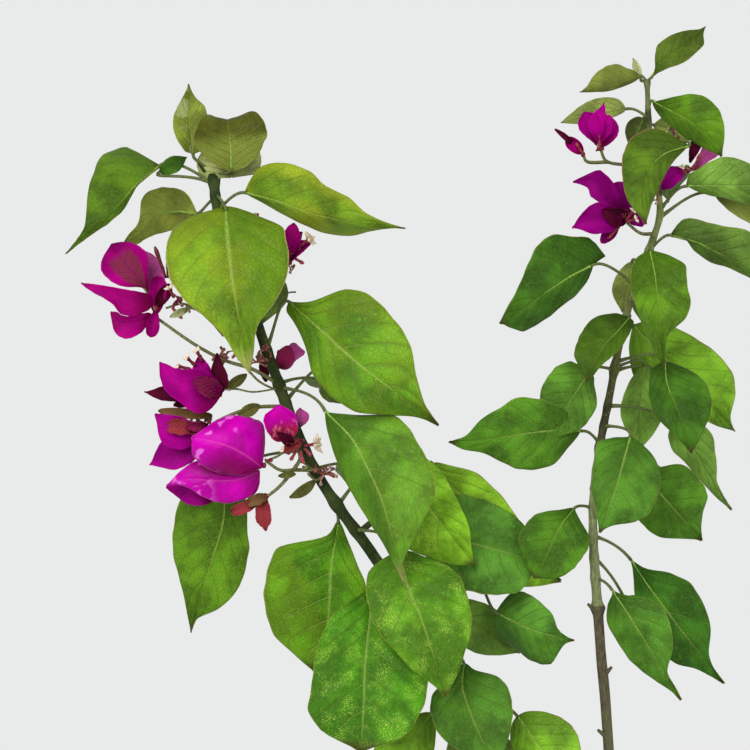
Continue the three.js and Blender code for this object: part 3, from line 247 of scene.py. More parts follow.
RIGHT_MIDDLE_LEAVES = [
    ["deep", 441, 22, 427.5, 26, 51.5, 394, 34, 37, 0, 8, 0.05, 0, 0.5,
     outline([5, 9.8, 18.8, 20, 20, 17.9, 9.1, 3.1], [5, 12, 17, 17.5, 16.8, 13.8, 8.2, 2.7],
             fold_left=-8, fold_right=12)],
    ["mint", 462, 36, 452.5, 28, 66.5, 409, 60, 24, 0, 12, 0.05, 0, 0.6,
     outline([5, 12, 14, 10.5, 6.7, 2.3, 1, 0.2], [2, 5.1, 7.4, 5.6, 5, 4, 2.8, 1.2], [2, 1, 0],
             fold_right=-20)],
    ["cool", 452, 15, 446.5, 5, 0, 399, -16, 35, 0, 8, 0.05, 0, 0.5,
     outline([5, 11.8, 19, 21, 21.5, 20.5, 15.2, 4.5], [1.3, 8, 14.6, 13.5, 12.2, 10.4, 6.6, 3.2],
             [0.4, 0.8, 0.4], fold_left=-6, fold_right=20)],
    ["deep", 443, -9.5, 449.5, 10, -74.5, 444, -14, 36, 0, 8, 0.05, 0, 0.6,
     outline([2.3, 7, 15.8, 17.3, 16.2, 12, 6.4, 4.3], [3, 8, 14, 18, 19.3, 14.9, 9.9, 2.4],
             [-1.5, -1, 0], fold_left=-16, fold_right=14)],
    ["sage", 480, -5.5, 479, 14, -28, 443.5, 2, 28, 0, 8, 0.05, 0, 0.5,
     outline([3.3, 5.3, 10.6, 13, 13, 11.8, 7, 2.5], [10, 12.4, 15.9, 16.3, 15.7, 12.4, 6, 3],
             [0, -0.5, 0], fold_left=-4, fold_right=16)],
    ["dark", 484, 32.5, 484, 10, 45.5, 439, -8, 31, 0, 8, 0.05, 0, 0.5,
     outline([2.2, 6.7, 13.9, 16.8, 17.1, 14.8, 9.9, 5.3], [4, 8.2, 10.9, 12.6, 12.5, 10, 6.1, 2.8],
             [-2, -1, 0], fold_left=-8, fold_right=18)],
    ["mint", 481, 22.5, 482, 30, 20, 440, 34, 24, 20, 20, 0.04, -0.04, 0.6],
    ["bright", 505, 17, 502, 34, 67.5, 449.5, 58, 38, 0, 8, 0.05, 0, 0.5,
     outline([4, 10, 15.8, 19.3, 21.4, 20.7, 14.4, 2.8], [3, 10, 18, 20, 20, 14, 8, 4.5], fold_left=4)],
    ["mossy", 506, 14.5, 506, 12, -6.5, 474.5, -4, 25, 0, 8, 0.05, 0, 0.5,
     outline([2.9, 3.7, 4.6, 4.9, 4.6, 3.2, 1.7, 1.2], [6, 9.4, 14.5, 15.9, 15.9, 14.8, 12.8, 6.3],
             [-1, -2.5, -2], fold_left=20, fold_right=-10)],
    ["deep", 440, 14, 440, 30, 12, 408, 66, 28, 180, 10, 0.08, 0, 0.5],
    ["mid", 479, 28, 480, 40, 42, 466, 114, 36, None, 10, 0.06, 0, 0.5],
    ["deep", 430, 10, 432, 30, 22, 416, 108, 32, None, 10, 0.06, 0, 0.5],
]
RIGHT_TOP_LEAVES = [
    ["dark", 522, -4.5, 532, 16, -49.5, 503.5, -10, 40, 0, 8, 0.02, 0, 0.42,
     outline([2, 6, 9, 9.3, 10.4, 10.5, 9.8, 5.5], [12, 17, 24, 23.3, 19, 13, 8, 4.3], [-1, -1, 0],
             fold_left=-46, fold_right=4, lobe_right=11)],
    ["mid", 546, 25, 539.5, 12, 32, 482, -10, 33, 0, 8, 0.05, 0, 0.5,
     outline([2.9, 9.6, 16.8, 16.3, 16.8, 13.5, 2.9, 1.4], [2.7, 7.7, 10.8, 11.6, 10.2, 8.5, 6, 3.2],
             [1, 1, 0], fold_right=16, wavy=1.0)],
    ["wan", 530, 16, 534, 36, 11, 508.5, 48, 15, 0, 10, 0.04, 0, 0.55],
    ["dull", 540, 36.5, 547, 22, 92.5, 517.5, 6, 32, 0, 12, 0.05, 0, 0.42,
     outline([8.8, 12.4, 14.5, 16.7, 19.7, 18, 12, 6], [-0.5, -2, 1.9, 3, 1.2, 0.8, 0.5, 0.3],
             [3, 3, 1.5], fold_left=8, fold_right=-50)],
    ["mint", 560, 44, 572, 22, 97.5, 572.5, 8, 30, 0, 12, 0.05, 0, 0.46,
     outline([5.8, 7.8, 12.4, 14.7, 13, 9, 5, 2.5], [0.5, 2.5, 5.2, 6.6, 9, 10, 7, 3], fold_left=6,
             fold_right=-34)],
    ["olive", 556, 58, 567.5, 34, 95, 550, 46, 22, 30, 20, 0.05, 0, 0.55],
    ["rosy", 590, 44.5, 592, 15, 23.5, 554, -4, 31, 0, 8, 0.06, 0, 0.5,
     outline([-0.3, -1, -2.8, -3.3, -3.3, -2.8, -2.2, -1], [14, 21, 26, 27.5, 27, 24.3, 20, 14],
             [-9, -12, -9], fold_left=-24, fold_right=10)],
    ["mid", 610, 26, 614.5, 28, 60.5, 587, 14, 28, 0, 12, 0.08, 0, 0.55,
     outline([0.5, 3.3, 10.1, 16, 18.3, 17.7, 14.3, 8.4], [1, 2.5, 4, 4, 4, 3.4, 2.4, 1.2], [2, 4, 4],
             fold_left=6, fold_right=-46)],
    ["wan", 600, 27, 602.5, 36, 48, 597.5, 50, 18, 0, 12, 0.05, 0, 0.55],
    ["bronze", 624, 26, 626.5, 30, 53, 652, 26, 18, 0, 16, 0.05, 0, 0.6,
     outline([0.3, 1.3, 7, 10.2, 9.5, 7.7, 4.7, 1.3], [0.2, 0.6, 2.3, 4.8, 6.1, 6.4, 6.2, 2.1],
             [2.5, 1, -1], fold_left=10, fold_right=34)],
    ["olive", 624, 20, 627, 30, -9.5, 619, 24, 16, 0, 16, 0.08, 0, 0.6,
     outline([1, 1.9, 2.8, 3.2, 3.4, 3, 2, 1], [1.6, 3.4, 5.8, 9, 9.5, 8.4, 5.9, 1.9], [0.6, 0.5, 0.3],
             fold_left=-40, fold_right=6)],
    ["pale", 624, 20.5, 625, 33, 16.5, 636, 34, 3.8, 0, 20, 0.02, 0, 0.7],
    ["wan", 606, 13, 610.5, 34, -20, 603.5, 52, 14, 0, 8, 0.05, 0, 0.6,
     outline([1, 2, 3, 3.5, 3.5, 3, 2, 1], [3, 6, 8, 8.5, 8, 6.5, 4, 2])],
    ["bronze", 604, 22, 606, 38, 15, 590, 58, 15, 170, 12, 0.05, 0, 0.6],
    ["deep", 538, 26, 531, 38, 28, 495, 72, 26, 180, 10, 0.08, 0, 0.5],
    ["mid", 540, 27, 525, 36, 30, 507, 112, 32, None, 10, 0.06, 0, 0.5],
    ["deep", 585, 28, 580, 34, 34, 566, 108, 30, None, 10, 0.06, 0, 0.5],
]

# The flowering twigs: each starts at a height on its cane and runs through its places, across,
# high and back. Each bloom's bracts have a tint and reach from its heart, or from a place near
# it, to their tips, with a width, a roll and what is special about their form, such as margins
# that were read as the leaves' were.
FLOWERING_TWIGS = [
    {
        "name": "bracts_left_top", "cane": LEFT_CANE, "from": 524,
        "twigs": [[[-168, 532, -1], [-155, 534, -2]]],
        "blooms": [{
            "heart": [-155, 534, -2],
            "bracts": [
                ["wine", -153, 553.5, -4, 11, 0, {"cup": 60, "creased": 0.5}],
                ["maroon", -149, 549, -2, 9, 30, {"cup": 50}],
                ["wine", -145, 544, -4, 9, 30, {"cup": 70, "creased": 0.5}],
            ],
        }],
    },
    {
        "name": "bracts_left_high", "cane": LEFT_CANE, "from": 473,
        "twigs": [
            [[-174, 480.5, -6], [-188, 485, -8], [-203, 493, -8], [-223, 507, -6]],
            [[-188, 485, -8], [-191, 478, -9], [-190, 470, -9]],
        ],
        "blooms": [
            {
                "heart": [-222, 511, -6],
                "bracts": [
                    ["hearted", -244.5, 543, -8, 24, 0,
                     outline([0.5, 1, 6.5, 9.8, 11.3, 11.6, 9.9, 6.3],
                             [0.8, 2.6, 6.2, 9.3, 11, 10.3, 8.4, 5], start=[-227, 520, -7], cup=40)],
                    ["wine", -259.5, 523.5, -14, 15, 0,
                     outline([2, 4, 8, 8.5, 5, 3.6, 2.9, 1.6], [2.5, 5, 4.6, 4, 3.2, 2.5, 1.8, 1],
                             [0.5, 0.5, 0.3], start=[-224, 512, -8], cup=25)],
                    ["wine", -244.5, 509, -12, 18, 0,
                     outline([2, 4, 8, 10, 11.5, 12.3, 11.5, 8.5], [1, 1.5, 1, 0.5, -1, -1.5, -1, 0.5],
                             [2.5, 4, 5], start=[-224, 507, -7], cup=35, wavy=1.2)],
                    ["wine", -224.5, 496.5, -9, 7.5, 0, {"base": 0.9, "point": 0.45, "cup": 50}],
                    ["wine", -220.5, 527, -4, 10, 0,
                     {"start": [-222, 508, -5], "base": 0.6, "point": 0.5, "cup": 40}],
                    ["lilac", -227, 539.5, 2, 16, 0,
                     outline([1, 2, 4, 5, 5, 5, 4, 2.5], [1.5, 4, 6.4, 7.6, 8, 7.5, 5.3, 3], [0, -1, -1],
                             start=[-224, 516, 0], cup=25)],
                    ["maroon", -215, 523, -6, 8, 0, {"cup": 60}],
                ],
            },
            {
                "heart": [-190, 468, -9],
                "bracts": [
                    ["magenta", -220, 484, -18, 24, 0,
                     outline([4, 9.5, 13.3, 13.5, 12.5, 12, 10.5, 6.5], [2, 4, 6, 7, 6, 3, 1, 0.5],
                             [3, 4, 4], start=[-189.5, 467.5, -10], cup=40)],
                    ["maroon", -228, 469, -8, 8, 0,
                     outline([0.5, 1, 3, 4, 4, 3.8, 2.5, 1.2], [0.5, 1, 2, 3, 3.4, 3, 1.8, 0.8],
                             start=[-200, 468, -8], cup=40)],
                    ["maroon", -213.5, 462.5, -8, 4, 0, {"start": [-203, 464, -8], "cup": 40}],
                    ["magenta", -200, 488, -8, 12, 0,
                     outline([1, 4, 8, 9, 8.5, 6.5, 4.5, 2], [0.5, 1, 2, 2.5, 2.8, 2.5, 1.8, 0.8],
                             [1, 2, 1.2], start=[-194, 467.5, -10], cup=50, wavy=1.2)],
                    ["maroon", -191.5, 488.5, -14, 7, 0,
                     outline([0.5, 1, 1.5, 2, 2.8, 3.2, 2.4, 1],
                             [0.5, 1.5, 3.5, 4.6, 4.2, 3.2, 2.3, 1.2], [-0.5, -0.5, 0],
                             start=[-190, 467.5, -10], cup=60, creased=0.5)],
                    ["veiny", -203, 476, -20, 12, 0,
                     {"base": 0.5, "point": 0.5, "cup": 60, "creased": 0.8, "wavy": 1.4}],
                ],
            },
        ],
    },
    {
        "name": "bracts_left_middle", "cane": LEFT_CANE, "from": 462,
        "twigs": [[[-174, 461, -8], [-190, 455, -8], [-196, 449, -7]]],
        "blooms": [{
            "heart": [-196, 449, -7],
            "bracts": [
                ["violet", -222.5, 458, -12, 16, 0,
                 outline([2, 4, 8, 11, 12, 11.5, 9, 4], [1, 2, 3, 4, 4, 3.5, 2.5, 1.2], [2, 3, 2.5],
                         start=[-197, 446.5, -8], cup=30)],
                ["violet", -225.5, 432.5, -6, 16, 0,
                 outline([1, 3, 6, 7.5, 7.5, 7, 4.5, 2], [1, 3, 6, 8, 8.5, 8, 5, 2],
                         start=[-197, 445, -6], cup=15)],
                ["rust", -217, 452, -14, 10, 0,
                 {"start": [-203, 451, -12], "base": 0.5, "point": 0.5, "cup": 60, "creased": 0.8}],
                ["veiny", -207, 451.5, -15, 6, 0,
                 {"start": [-196, 452, -10], "base": 0.5, "point": 0.5, "cup": 70, "creased": 0.7}],
                ["withered", -221, 459.5, -12, 5, 0,
                 {"start": [-194, 457, -9], "base": 0.4, "point": 0.5, "cup": 40}],
            ],
        }],
    },
    {
        "name": "bracts_left_low", "cane": LEFT_CANE, "from": 430,
        "twigs": [
            [[-153, 430, -8], [-160, 430, -12], [-167, 434.5, -16]],
            [[-153, 430, -8], [-150, 436, -12], [-152, 442, -14]],
            [[-153, 430, -8], [-160, 422, -8], [-166, 417, -8]],
        ],
        "blooms": [
            {
                "heart": [-168, 432.5, -16],
                "bracts": [
                    ["glossy", -204, 446.5, -26, 40, 0,
                     outline([1, 3.2, 7.3, 9.5, 10.7, 10.9, 10, 7.5],
                             [3.5, 12, 20.5, 20.4, 19.4, 17.8, 13, 6.5], [-2, -3, -2],
                             start=[-169, 431, -18], fold=-6, cup=-48, arch=0.2)],
                    ["glossy_low", -217, 422, -12, 32, 0,
                     outline([5.5, 10.4, 12.8, 13.3, 11.6, 7.6, 2.2, 0.3],
                             [1, 3, 6, 8, 9.5, 9.8, 7.3, 3.8], [2.5, 1, -1.5], start=[-170, 429.5, -12],
                             fold=-4, cup=-34, arch=0.12)],
                    ["purple", -217, 421.5, -5, 12, 0,
                     outline([2.6, 4, 5.8, 6.5, 6.1, 5, 3.3, 1.6], [0.5, 0.5, 1, 1.5, 2.5, 3.8, 4, 3],
                             [1, 0.5, -0.5], start=[-192.5, 417, -6], cup=20, arch=0)],
                ],
            },
            {
                "heart": [-154, 443, -15],
                "bracts": [
                    ["reddening", -160.5, 462.5, -22, 15, 0,
                     outline([2, 4.5, 6.5, 7, 7.9, 8.5, 8.8, 7.5], [1.5, 3, 5, 6.5, 7, 7, 6.3, 4],
                             start=[-157, 445, -16], cup=50)],
                    ["lilac", -150, 461.2, 6, 8, 0,
                     outline([0.3, 0.8, 1.5, 1.5, 1.5, 1.5, 1.5, 1], [0.5, 1, 2.8, 4.2, 5, 5, 4.2, 2],
                             [-0.5, -0.8, -0.8], start=[-151.5, 450, 4], cup=30)],
                    ["maroon", -161, 448.5, -22, 8, 0, {"cup": 80, "creased": 0.6}],
                    ["rust", -149, 443, -18, 6, 0, {"cup": 80, "creased": 0.5}],
                    ["rust", -157, 438.5, -18, 7, 0, {"cup": 80, "creased": 0.5}],
                ],
            },
            {
                "heart": [-167, 417, -8],
                "bracts": [
                    ["rust", -167, 399.5, -8, 8, 0,
                     outline([1, 2.5, 3.2, 3.3, 3.4, 3.2, 2.4, 1], [1, 2, 3.4, 3.8, 4.2, 4, 3, 1.2],
                             start=[-169, 416, -8], cup=50, creased=0.3)],
                    ["rust", -184.5, 409, -10, 7, 0,
                     {"start": [-172, 413, -8], "base": 0.5, "point": 0.4, "cup": 60, "creased": 0.5}],
                    ["withered", -177, 413.5, -10, 7, 0,
                     {"start": [-166, 417, -8], "base": 0.5, "point": 0.5, "cup": 60, "creased": 0.4}],
                ],
            },
        ],
    },
    {
        "name": "bracts_left_behind", "cane": LEFT_CANE, "from": 480,
        "twigs": [[[-163, 482, 5], [-160, 483, 7]]],
        "blooms": [{
            "heart": [-160, 482, 7],
            "bracts": [
                ["lilac", -147.5, 489, 9, 14, 0,
                 outline([1.5, 4, 6, 6.3, 6.7, 7.3, 7.6, 6.5], [0.5, 1.5, 2.2, 1.8, 1, 0.8, 0.8, 0.9],
                         [2, 3, 3], start=[-159.5, 480.5, 8], cup=20)],
                ["veiny", -155.5, 492, 5, 9, 0,
                 {"start": [-160, 481, 6], "base": 0.5, "point": 0.6, "cup": 40}],
                ["maroon", -168.5, 484.5, 16, 5.5, 0,
                 {"start": [-167, 474, 14], "base": 0.7, "point": 0.7, "cup": 50}],
            ],
        }],
    },
    {
        "name": "bracts_right_top", "cane": RIGHT_CANE, "from": 578,
        "twigs": [
            [[18, 582, 24], [4, 584, 22], [0, 591, 21]],
            [[4, 584, 22], [-6, 584, 22], [-8.5, 588, 21]],
        ],
        "blooms": [
            {
                "heart": [-0.5, 591, 21],
                "bracts": [
                    ["magenta", -8, 609, 18, 12, 0,
                     outline([0.5, 1, 2, 3.4, 4.6, 5.4, 5, 3], [1, 2, 4, 5.5, 6.5, 7, 6, 3.5],
                             start=[-1, 592, 21], cup=50)],
                    ["magenta", 2, 614, 15, 12, 0,
                     outline([0.8, 2, 4, 6, 6.5, 6, 4, 1], [0.5, 1, 3, 5, 5, 3, 1, 0.6],
                             start=[0, 592, 20], cup=40)],
                    ["magenta", 5, 607.5, 24, 13, 0,
                     outline([1, 2, 4, 5, 5.5, 5, 4, 2.5], [1.8, 3.6, 5.6, 6.6, 6.5, 5.7, 4, 1.8],
                             start=[0, 591.5, 21], cup=40)],
                ],
            },
            {
                "heart": [-8.5, 588, 21],
                "bracts": [
                    ["wine", -16.5, 596, 20, 9, 0, {"base": 0.5, "point": 0.5, "cup": 70}],
                    ["maroon", -22.5, 600.5, 18, 3, 0,
                     {"start": [-13, 593, 20], "base": 0.5, "point": 0.9, "cup": 60}],
                ],
            },
        ],
    },
    {
        "name": "bracts_right_middle", "cane": RIGHT_CANE, "from": 548,
        "twigs": [[[20, 548.5, 22], [13, 554, 18]]],
        "blooms": [{
            "heart": [13, 555, 18],
            "bracts": [
                ["purple", -13.5, 574, 14, 24, 0,
                 outline([0.5, 1, 1.5, 1.5, 1, 1, -2, -1.2], [1, 3, 6, 9, 10.9, 12, 12.5, 7],
                         [-2, -4, -6], start=[12.5, 556, 16], cup=35, wavy=1.2)],
                ["purple", -14, 551, 12, 18, 0,
                 outline([1, 2.5, 4, 5, 5, 4.6, 3, 1], [2, 4, 7, 9.5, 10.5, 9.6, 7, 3.5], [-1, -2, -2],
                         start=[11, 555, 14], cup=40, wavy=1.2)],
                ["purple", 0.5, 543.5, 18, 8, 0, {"start": [9, 554, 18], "cup": 50}],
                ["purple", 9, 574, 22, 22, 0, {"start": [13, 555, 20], "cup": 30}],
                ["purple", 22.5, 553, 22, 14, 0,
                 outline([1, 3, 7, 8, 8, 7, 6, 3], [0.3, 0.6, 1.2, 1.5, 1.5, 1.5, 1.5, 1], [2, 2, 2],
                         start=[14, 554, 20], cup=30)],
                ["maroon", 1, 560, 8, 12, 0, {"base": 0.5, "point": 0.5, "cup": 60, "creased": 0.5}],
            ],
        }],
    },
    {
        "name": "bracts_right_side", "cane": RIGHT_CANE, "from": 567,
        "twigs": [[[36, 573, 20], [41, 576, 24], [45, 580, 28]]],
        "blooms": [
            {
                "heart": [44.5, 580.5, 28],
                "bracts": [
                    ["maroon", 49.5, 598, 30, 7, 0,
                     {"start": [45, 583.5, 29], "base": 0.8, "point": 0.6, "cup": 60}],
                    ["lilac", 59.5, 588, 32, 14, 0,
                     outline([0.5, 1, 2.4, 3.8, 6, 8, 8.9, 7.5], [0.5, 1, 1.5, 1.3, 0.9, 0.7, 0.6, 0.4],
                             [1, 2.5, 4], start=[45, 580, 30], cup=25)],
                ],
            },
            {
                "heart": [42, 579, 22],
                "bracts": [
                    ["purple", 31, 570.5, 22, 12, 0,
                     outline([0.5, 1.2, 2.2, 2.9, 2.8, 2.9, 2.9, 1.8], [1, 2.5, 5, 6, 6.5, 6, 5, 3],
                             [-1.5, -2, -2], start=[42, 580, 22], cup=30)],
                ],
            },
        ],
    },
]

# Small flowers of each spray: kind, start across, high and back, length, heading in degrees up
# from the right
SMALL_FLOWERS = {
    "bracts_left_top": [["star", -151, 541, -6, 6, 40], ["bud", -153, 536, -5, 6, 330]],
    "bracts_left_high": [
        ["club", -217, 526, -7, 16, 108], ["club", -216, 526, -7, 15, 92],
        ["cream", -213, 516, -12, 5, 110], ["bud", -214, 511, -8, 8, 320],
        ["cream", -202, 482, -12, 6, 138], ["cream", -199, 484, -12, 6, 110],
        ["cream", -204, 480, -12, 6, 160], ["bud", -190, 471, -10, 12, 100],
    ],
    "bracts_left_middle": [["club", -196, 449, -9, 10, 150], ["bud", -196, 449, -9, 9, 190]],
    "bracts_left_low": [
        ["bud", -152, 440, -15, 7, 250], ["bud", -150, 440, -15, 7, 285],
        ["bud", -148, 441, -15, 6, 320], ["club", -151, 442, -16, 10, 120],
        ["star", -148, 442, -16, 5, 15], ["cream", -155, 438, -15, 4, 150],
    ],
    "bracts_left_behind": [["bud", -160, 483, 6, 8, 100]],
    "bracts_right_top": [["bud", 0, 591, 20, 8, 100], ["bud", -8.5, 588, 20, 7, 130]],
    "bracts_right_middle": [
        ["cream", 13, 555, 12, 5, 50], ["cream", 13, 554, 12, 4, 10], ["bud", 10, 552, 16, 9, 225],
    ],
    "bracts_right_side": [["cream", 45, 579, 26, 5, 160], ["bud", 46, 580, 27, 9, 60]],
}

# A small flower's finish and its radii along its tube, for each kind
FLOWER_TUBES = {
    "bud": ("bud", [0.5, 0.75, 0.85, 0.8, 0.72, 0.85, 1.1, 0.95, 0.3]),
    "club": ("club", [0.5, 0.6, 0.65, 0.7, 0.75, 0.85, 1.0, 1.0, 0.4]),
    "cream": ("calyx", [0.5, 0.85, 1.05, 1.0, 0.85, 0.8, 0.85, 1.05, 1.3]),
    "star": ("calyx", [0.4, 0.6, 0.8, 0.8, 0.8, 0.8, 0.9, 1.0, 1.2]),
}

# The lobes of the kinds that are open: how many, their length and their finish
FLOWER_LOBES = {"cream": (5, 2.6, "cream"), "star": (7, 5.2, "beige")}

# Bunches of dried and curled bits of each spray: tint, place, how many, length
BUNCHES = {
    "bracts_left_top": [
        ["calyx", -153, 538, -4, 8, 6], ["dried", -173.5, 557, 4, 5, 5], ["dried", -155, 530, -3, 5, 5],
    ],
    "bracts_left_high": [
        ["dried", -190, 487, -8, 16, 8], ["dried", -171, 484, -5, 13, 8],
        ["dried", -181, 488, -6, 12, 7], ["dried", -168, 490, -4, 9, 7],
        ["calyx", -211, 514, -7, 10, 6], ["olive_bit", -206, 511, -8, 5, 6],
        ["olive_bit", -189, 471, -10, 6, 6], ["calyx", -191, 474, -11, 8, 7],
    ],
    "bracts_left_middle": [["dried", -198, 453, -9, 12, 7], ["rusty_bit", -204, 452, -10, 8, 6]],
    "bracts_left_low": [
        ["dried", -137, 428, -4, 15, 10], ["calyx", -152, 443, -15, 10, 6],
        ["olive_bit", -146, 430, -8, 5, 5], ["calyx", -166, 434, -16, 5, 4],
    ],
    "bracts_right_top": [["calyx", 0, 590, 21, 5, 5]],
    "bracts_right_middle": [["calyx", 12, 556, 13, 8, 6]],
    "bracts_right_side": [
        ["pale_bit", 31, 596, 40, 12, 10], ["dried", 36, 595, 40, 10, 9],
        ["dried", 28, 565, 24, 5, 6], ["calyx", 46, 580, 28, 6, 5],
    ],
}

# Fine stalks among the blossoms of each spray: radius, and their places
FINE_STALKS = {
    "bracts_left_high": [
        [0.6, [[-222, 509, -6], [-225, 515, -7], [-228, 522, -7]]],
        [0.7, [[-188, 497, -2], [-197, 507, -4], [-208, 513, -7], [-217, 511, -6]]],
        [0.5, [[-190, 470, -9], [-182, 470.5, -9], [-173, 469, -8], [-160, 471, -1]]],
        [0.6, [[-176, 480, -6], [-170, 474, -7], [-161, 469.5, -1]]],
    ],
    "bracts_left_low": [
        [0.6, [[-167, 434.5, -16], [-161, 437, -14], [-155, 441, -14]]],
        [0.6, [[-146, 428, -5], [-142, 425, -5], [-139, 427, -3]]],
        [0.5, [[-154, 430, -8], [-150, 434, -9], [-143, 430, -6]]],
    ],
    "bracts_left_top": [
        [0.5, [[-186, 546, 3], [-180, 553, 4], [-173.5, 557, 4]]],
        [0.4, [[-152, 519, -2], [-156, 518.5, -2], [-160, 515, 0]]],
    ],
    "bracts_right_side": [[0.7, [[26, 578, 28], [29, 587, 36], [31, 596, 40]]]],
}

# Small leaves among the blossoms of each spray: tint, foot, tip, width and roll
SMALL_LEAVES = {
    "bracts_left_high": [
        ["khaki", [-176.5, 478, -8], [-187, 471, -11], 5, 10],
        ["pale", [-205, 511, -9], [-215, 506.5, -10], 3.5, 0],
    ],
    "bracts_left_middle": [["khaki", [-170, 462.5, -8], [-181, 457, -12], 6, 0]],
    "bracts_left_low": [
        ["khaki", [-142, 425, -5], [-155, 416, -8], 5.5, 20],
        ["khaki", [-161, 427, -12], [-152, 428, -11], 3, 0],
    ],
}

# Short stubs on the canes, by the node that they stand on: start, end, radius at the start
STUBS = {
    "right_bough": [
        [[1, 326, 9], [5.8, 331.5, 7], 1.5], [[0, 357, 11], [-6, 363, 9], 1.5],
        [[4, 296, 8], [-1, 300, 6], 1.5], [[5, 262, 5], [9.5, 267, 4], 1.5],
    ],
    "left_bough": [[[-18, 214, 0], [-23, 219, -2], 1.5], [[-24, 229, 0], [-19.5, 233, -2], 1.5]],
    "left_foliage_top": [
        [[-194, 574, 0], [-200.5, 583.5, 0], 1.8], [[-193.5, 574, 0], [-186, 580.5, 1], 1.7],
    ],
}

# Heights at which a node's length of cane is swollen, apart from where its leaves' stalks leave
# it. A height that stands there more than once swells the cane as often.
KNOTS = {
    "right_bough": [361, 361, 361],
    "right_foliage_low": [361, 361, 361],
    "right_foliage_middle": [418, 418],
}

# The low shoots round the foot
LOW_SHOOTS = 5
LOW_SHOOT_RISE = 64
LOW_SHOOT_REACH = 56
LOW_SHOOT_LEAVES = 6
LOW_SHOOT_RADIUS = 1.7
LOW_SHOOT_TURN = -54
LOW_SHOOT_FOOT = 10
LOW_SHOOT_STEP = 3
LOW_SHOOT_TINTS = ["fresh", "mid", "bright", "deep", "mid", "apple"]
SEED = 17

# How far the low shoots' leaves keep from the lowest line seen, the pot's rim, its top and the cane
CLEAR_OF_LINE = 3
CLEAR_OF_RIM = 8
CLEAR_OF_POT = 2
CLEAR_OF_CANE = 9

# Colours, as shares of red, green and blue light
LEAF_TINTS = {
    "lime": (0.1, 0.188, 0.005), "lemon": (0.095, 0.176, 0.006), "apple": (0.065, 0.17, 0.008),
    "fresh": (0.07, 0.17, 0.005), "grass": (0.057, 0.175, 0.003), "moss": (0.053, 0.115, 0.002),
    "mossy": (0.04, 0.09, 0.003), "olive": (0.133, 0.163, 0.026), "sallow": (0.185, 0.225, 0.014),
    "young": (0.155, 0.2, 0.022), "youngest": (0.28, 0.31, 0.1), "dusk": (0.05, 0.058, 0.002),
    # The near-black tint of the cupped leaf at the left cane's top is painted shade in its cup.
    "pale": (0.36, 0.38, 0.17), "rosy": (0.063, 0.125, 0.005), "speckled": (0.045, 0.165, 0.003),
    # The brightest green tint, on a leaf of the high side shoot, is painted light: brighter than the
    # leaf, to make up for the shade of the leaves in front of it.
    "dotted": (0.066, 0.186, 0.005), "freckled": (0.165, 0.37, 0.012), "lit": (0.27, 0.53, 0.03),
    "bright": (0.125, 0.275, 0.012), "mint": (0.125, 0.245, 0.03), "dull": (0.068, 0.13, 0.016),
    "wan": (0.22, 0.28, 0.06), "bronze": (0.062, 0.105, 0.008), "khaki": (0.1, 0.1, 0.022),
    "mid": (0.066, 0.155, 0.004), "deep": (0.05, 0.142, 0.006), "dark": (0.031, 0.098, 0.004),
    "darkest": (0.026, 0.1, 0.004), "blue": (0.063, 0.18, 0.015), "cool": (0.048, 0.138, 0.009),
    "sage": (0.067, 0.17, 0.013),
}
UNDERSIDE_COLOUR = (0.16, 0.19, 0.05)
VEIN_COLOUR = (0.4, 0.5, 0.12)
RIM_COLOUR = (0.4, 0.34, 0.08)
TIP_COLOUR = (0.05, 0.036, 0.01)
PALE_TIP_COLOUR = (0.33, 0.3, 0.1)
SPECK_COLOUR = (0.4, 0.46, 0.08)
YELLOW_COLOUR = (0.3, 0.34, 0.012)
PALE_FOOT_COLOUR = (0.17, 0.21, 0.03)
YOUNG_BLOT_COLOUR = (0.42, 0.48, 0.2)

# What sets single leaf tints apart: which have pale specks or a pale tip, the rims that aren't
# the usual mix, how dark the painted shade on one side is (the left where the value is over 0)
# and in the creases along the side veins, how much is yellowed, and how pale the veins are
SPECKLED = ("speckled", "dotted", "freckled")
PALE_TIPS = ("apple", "lime")
RIMS = {
    "rosy": (0.45, 0.12, 0.1), "bright": (0.3, 0.12, 0.06), "lime": (0.46, 0.36, 0.14),
    "lit": (0.35, 0.16, 0.08),
}
SHADED_SIDES = {"lime": 0.6, "lemon": -0.3, "apple": -0.4, "fresh": -0.3}
USUAL_CREASE_SHADE = 0.06
CREASE_SHADE = {"fresh": 0.4, "dusk": 0.0, "grass": 0.2, "speckled": 0.2, "dotted": 0.2, "lime": 0.1}
YELLOWED = {"lime": 0.22, "lemon": 0.5, "fresh": 0.12, "grass": 0.12, "apple": 0.06}
USUAL_VEINS = 0.3
VEINED = {
    "lime": 0.35, "lemon": 0.2, "fresh": 0.4, "moss": 0.12, "dusk": 0.12, "deep": 0.2,
    "dark": 0.12, "mid": 0.18, "rosy": 0.06, "mint": 0.15, "sage": 0.1, "dull": 0.06,
    "bronze": 0.2, "olive": 0.2, "grass": 0.4,
}

BRACT_TINTS = {
    "magenta": (0.27, 0.0, 0.155), "glossy": (0.37, 0.0, 0.26), "glossy_low": (0.36, 0.0, 0.25),
    "wine": (0.24, 0.0, 0.11), "violet": (0.245, 0.0, 0.155), "maroon": (0.06, 0.002, 0.015),
    "veiny": (0.2, 0.012, 0.06), "lilac": (0.36, 0.055, 0.22), "rust": (0.23, 0.028, 0.035),
    "withered": (0.15, 0.08, 0.03), "purple": (0.18, 0.0, 0.115), "hearted": (0.28, 0.0, 0.135),
    "reddening": (0.46, 0.0, 0.29),
}
GLOSSY = ("glossy", "glossy_low")
WELL_VEINED = ("veiny", "lilac", "hearted", "withered", "rust")
HEART_COLOUR = (0.13, 0.02, 0.03)
REDDENED_COLOUR = (0.25, 0.008, 0.05)
RED_SPOT_COLOUR = (0.55, 0.14, 0.2)
GLOSSY_MIDRIB_COLOUR = (0.6, 0.06, 0.3)
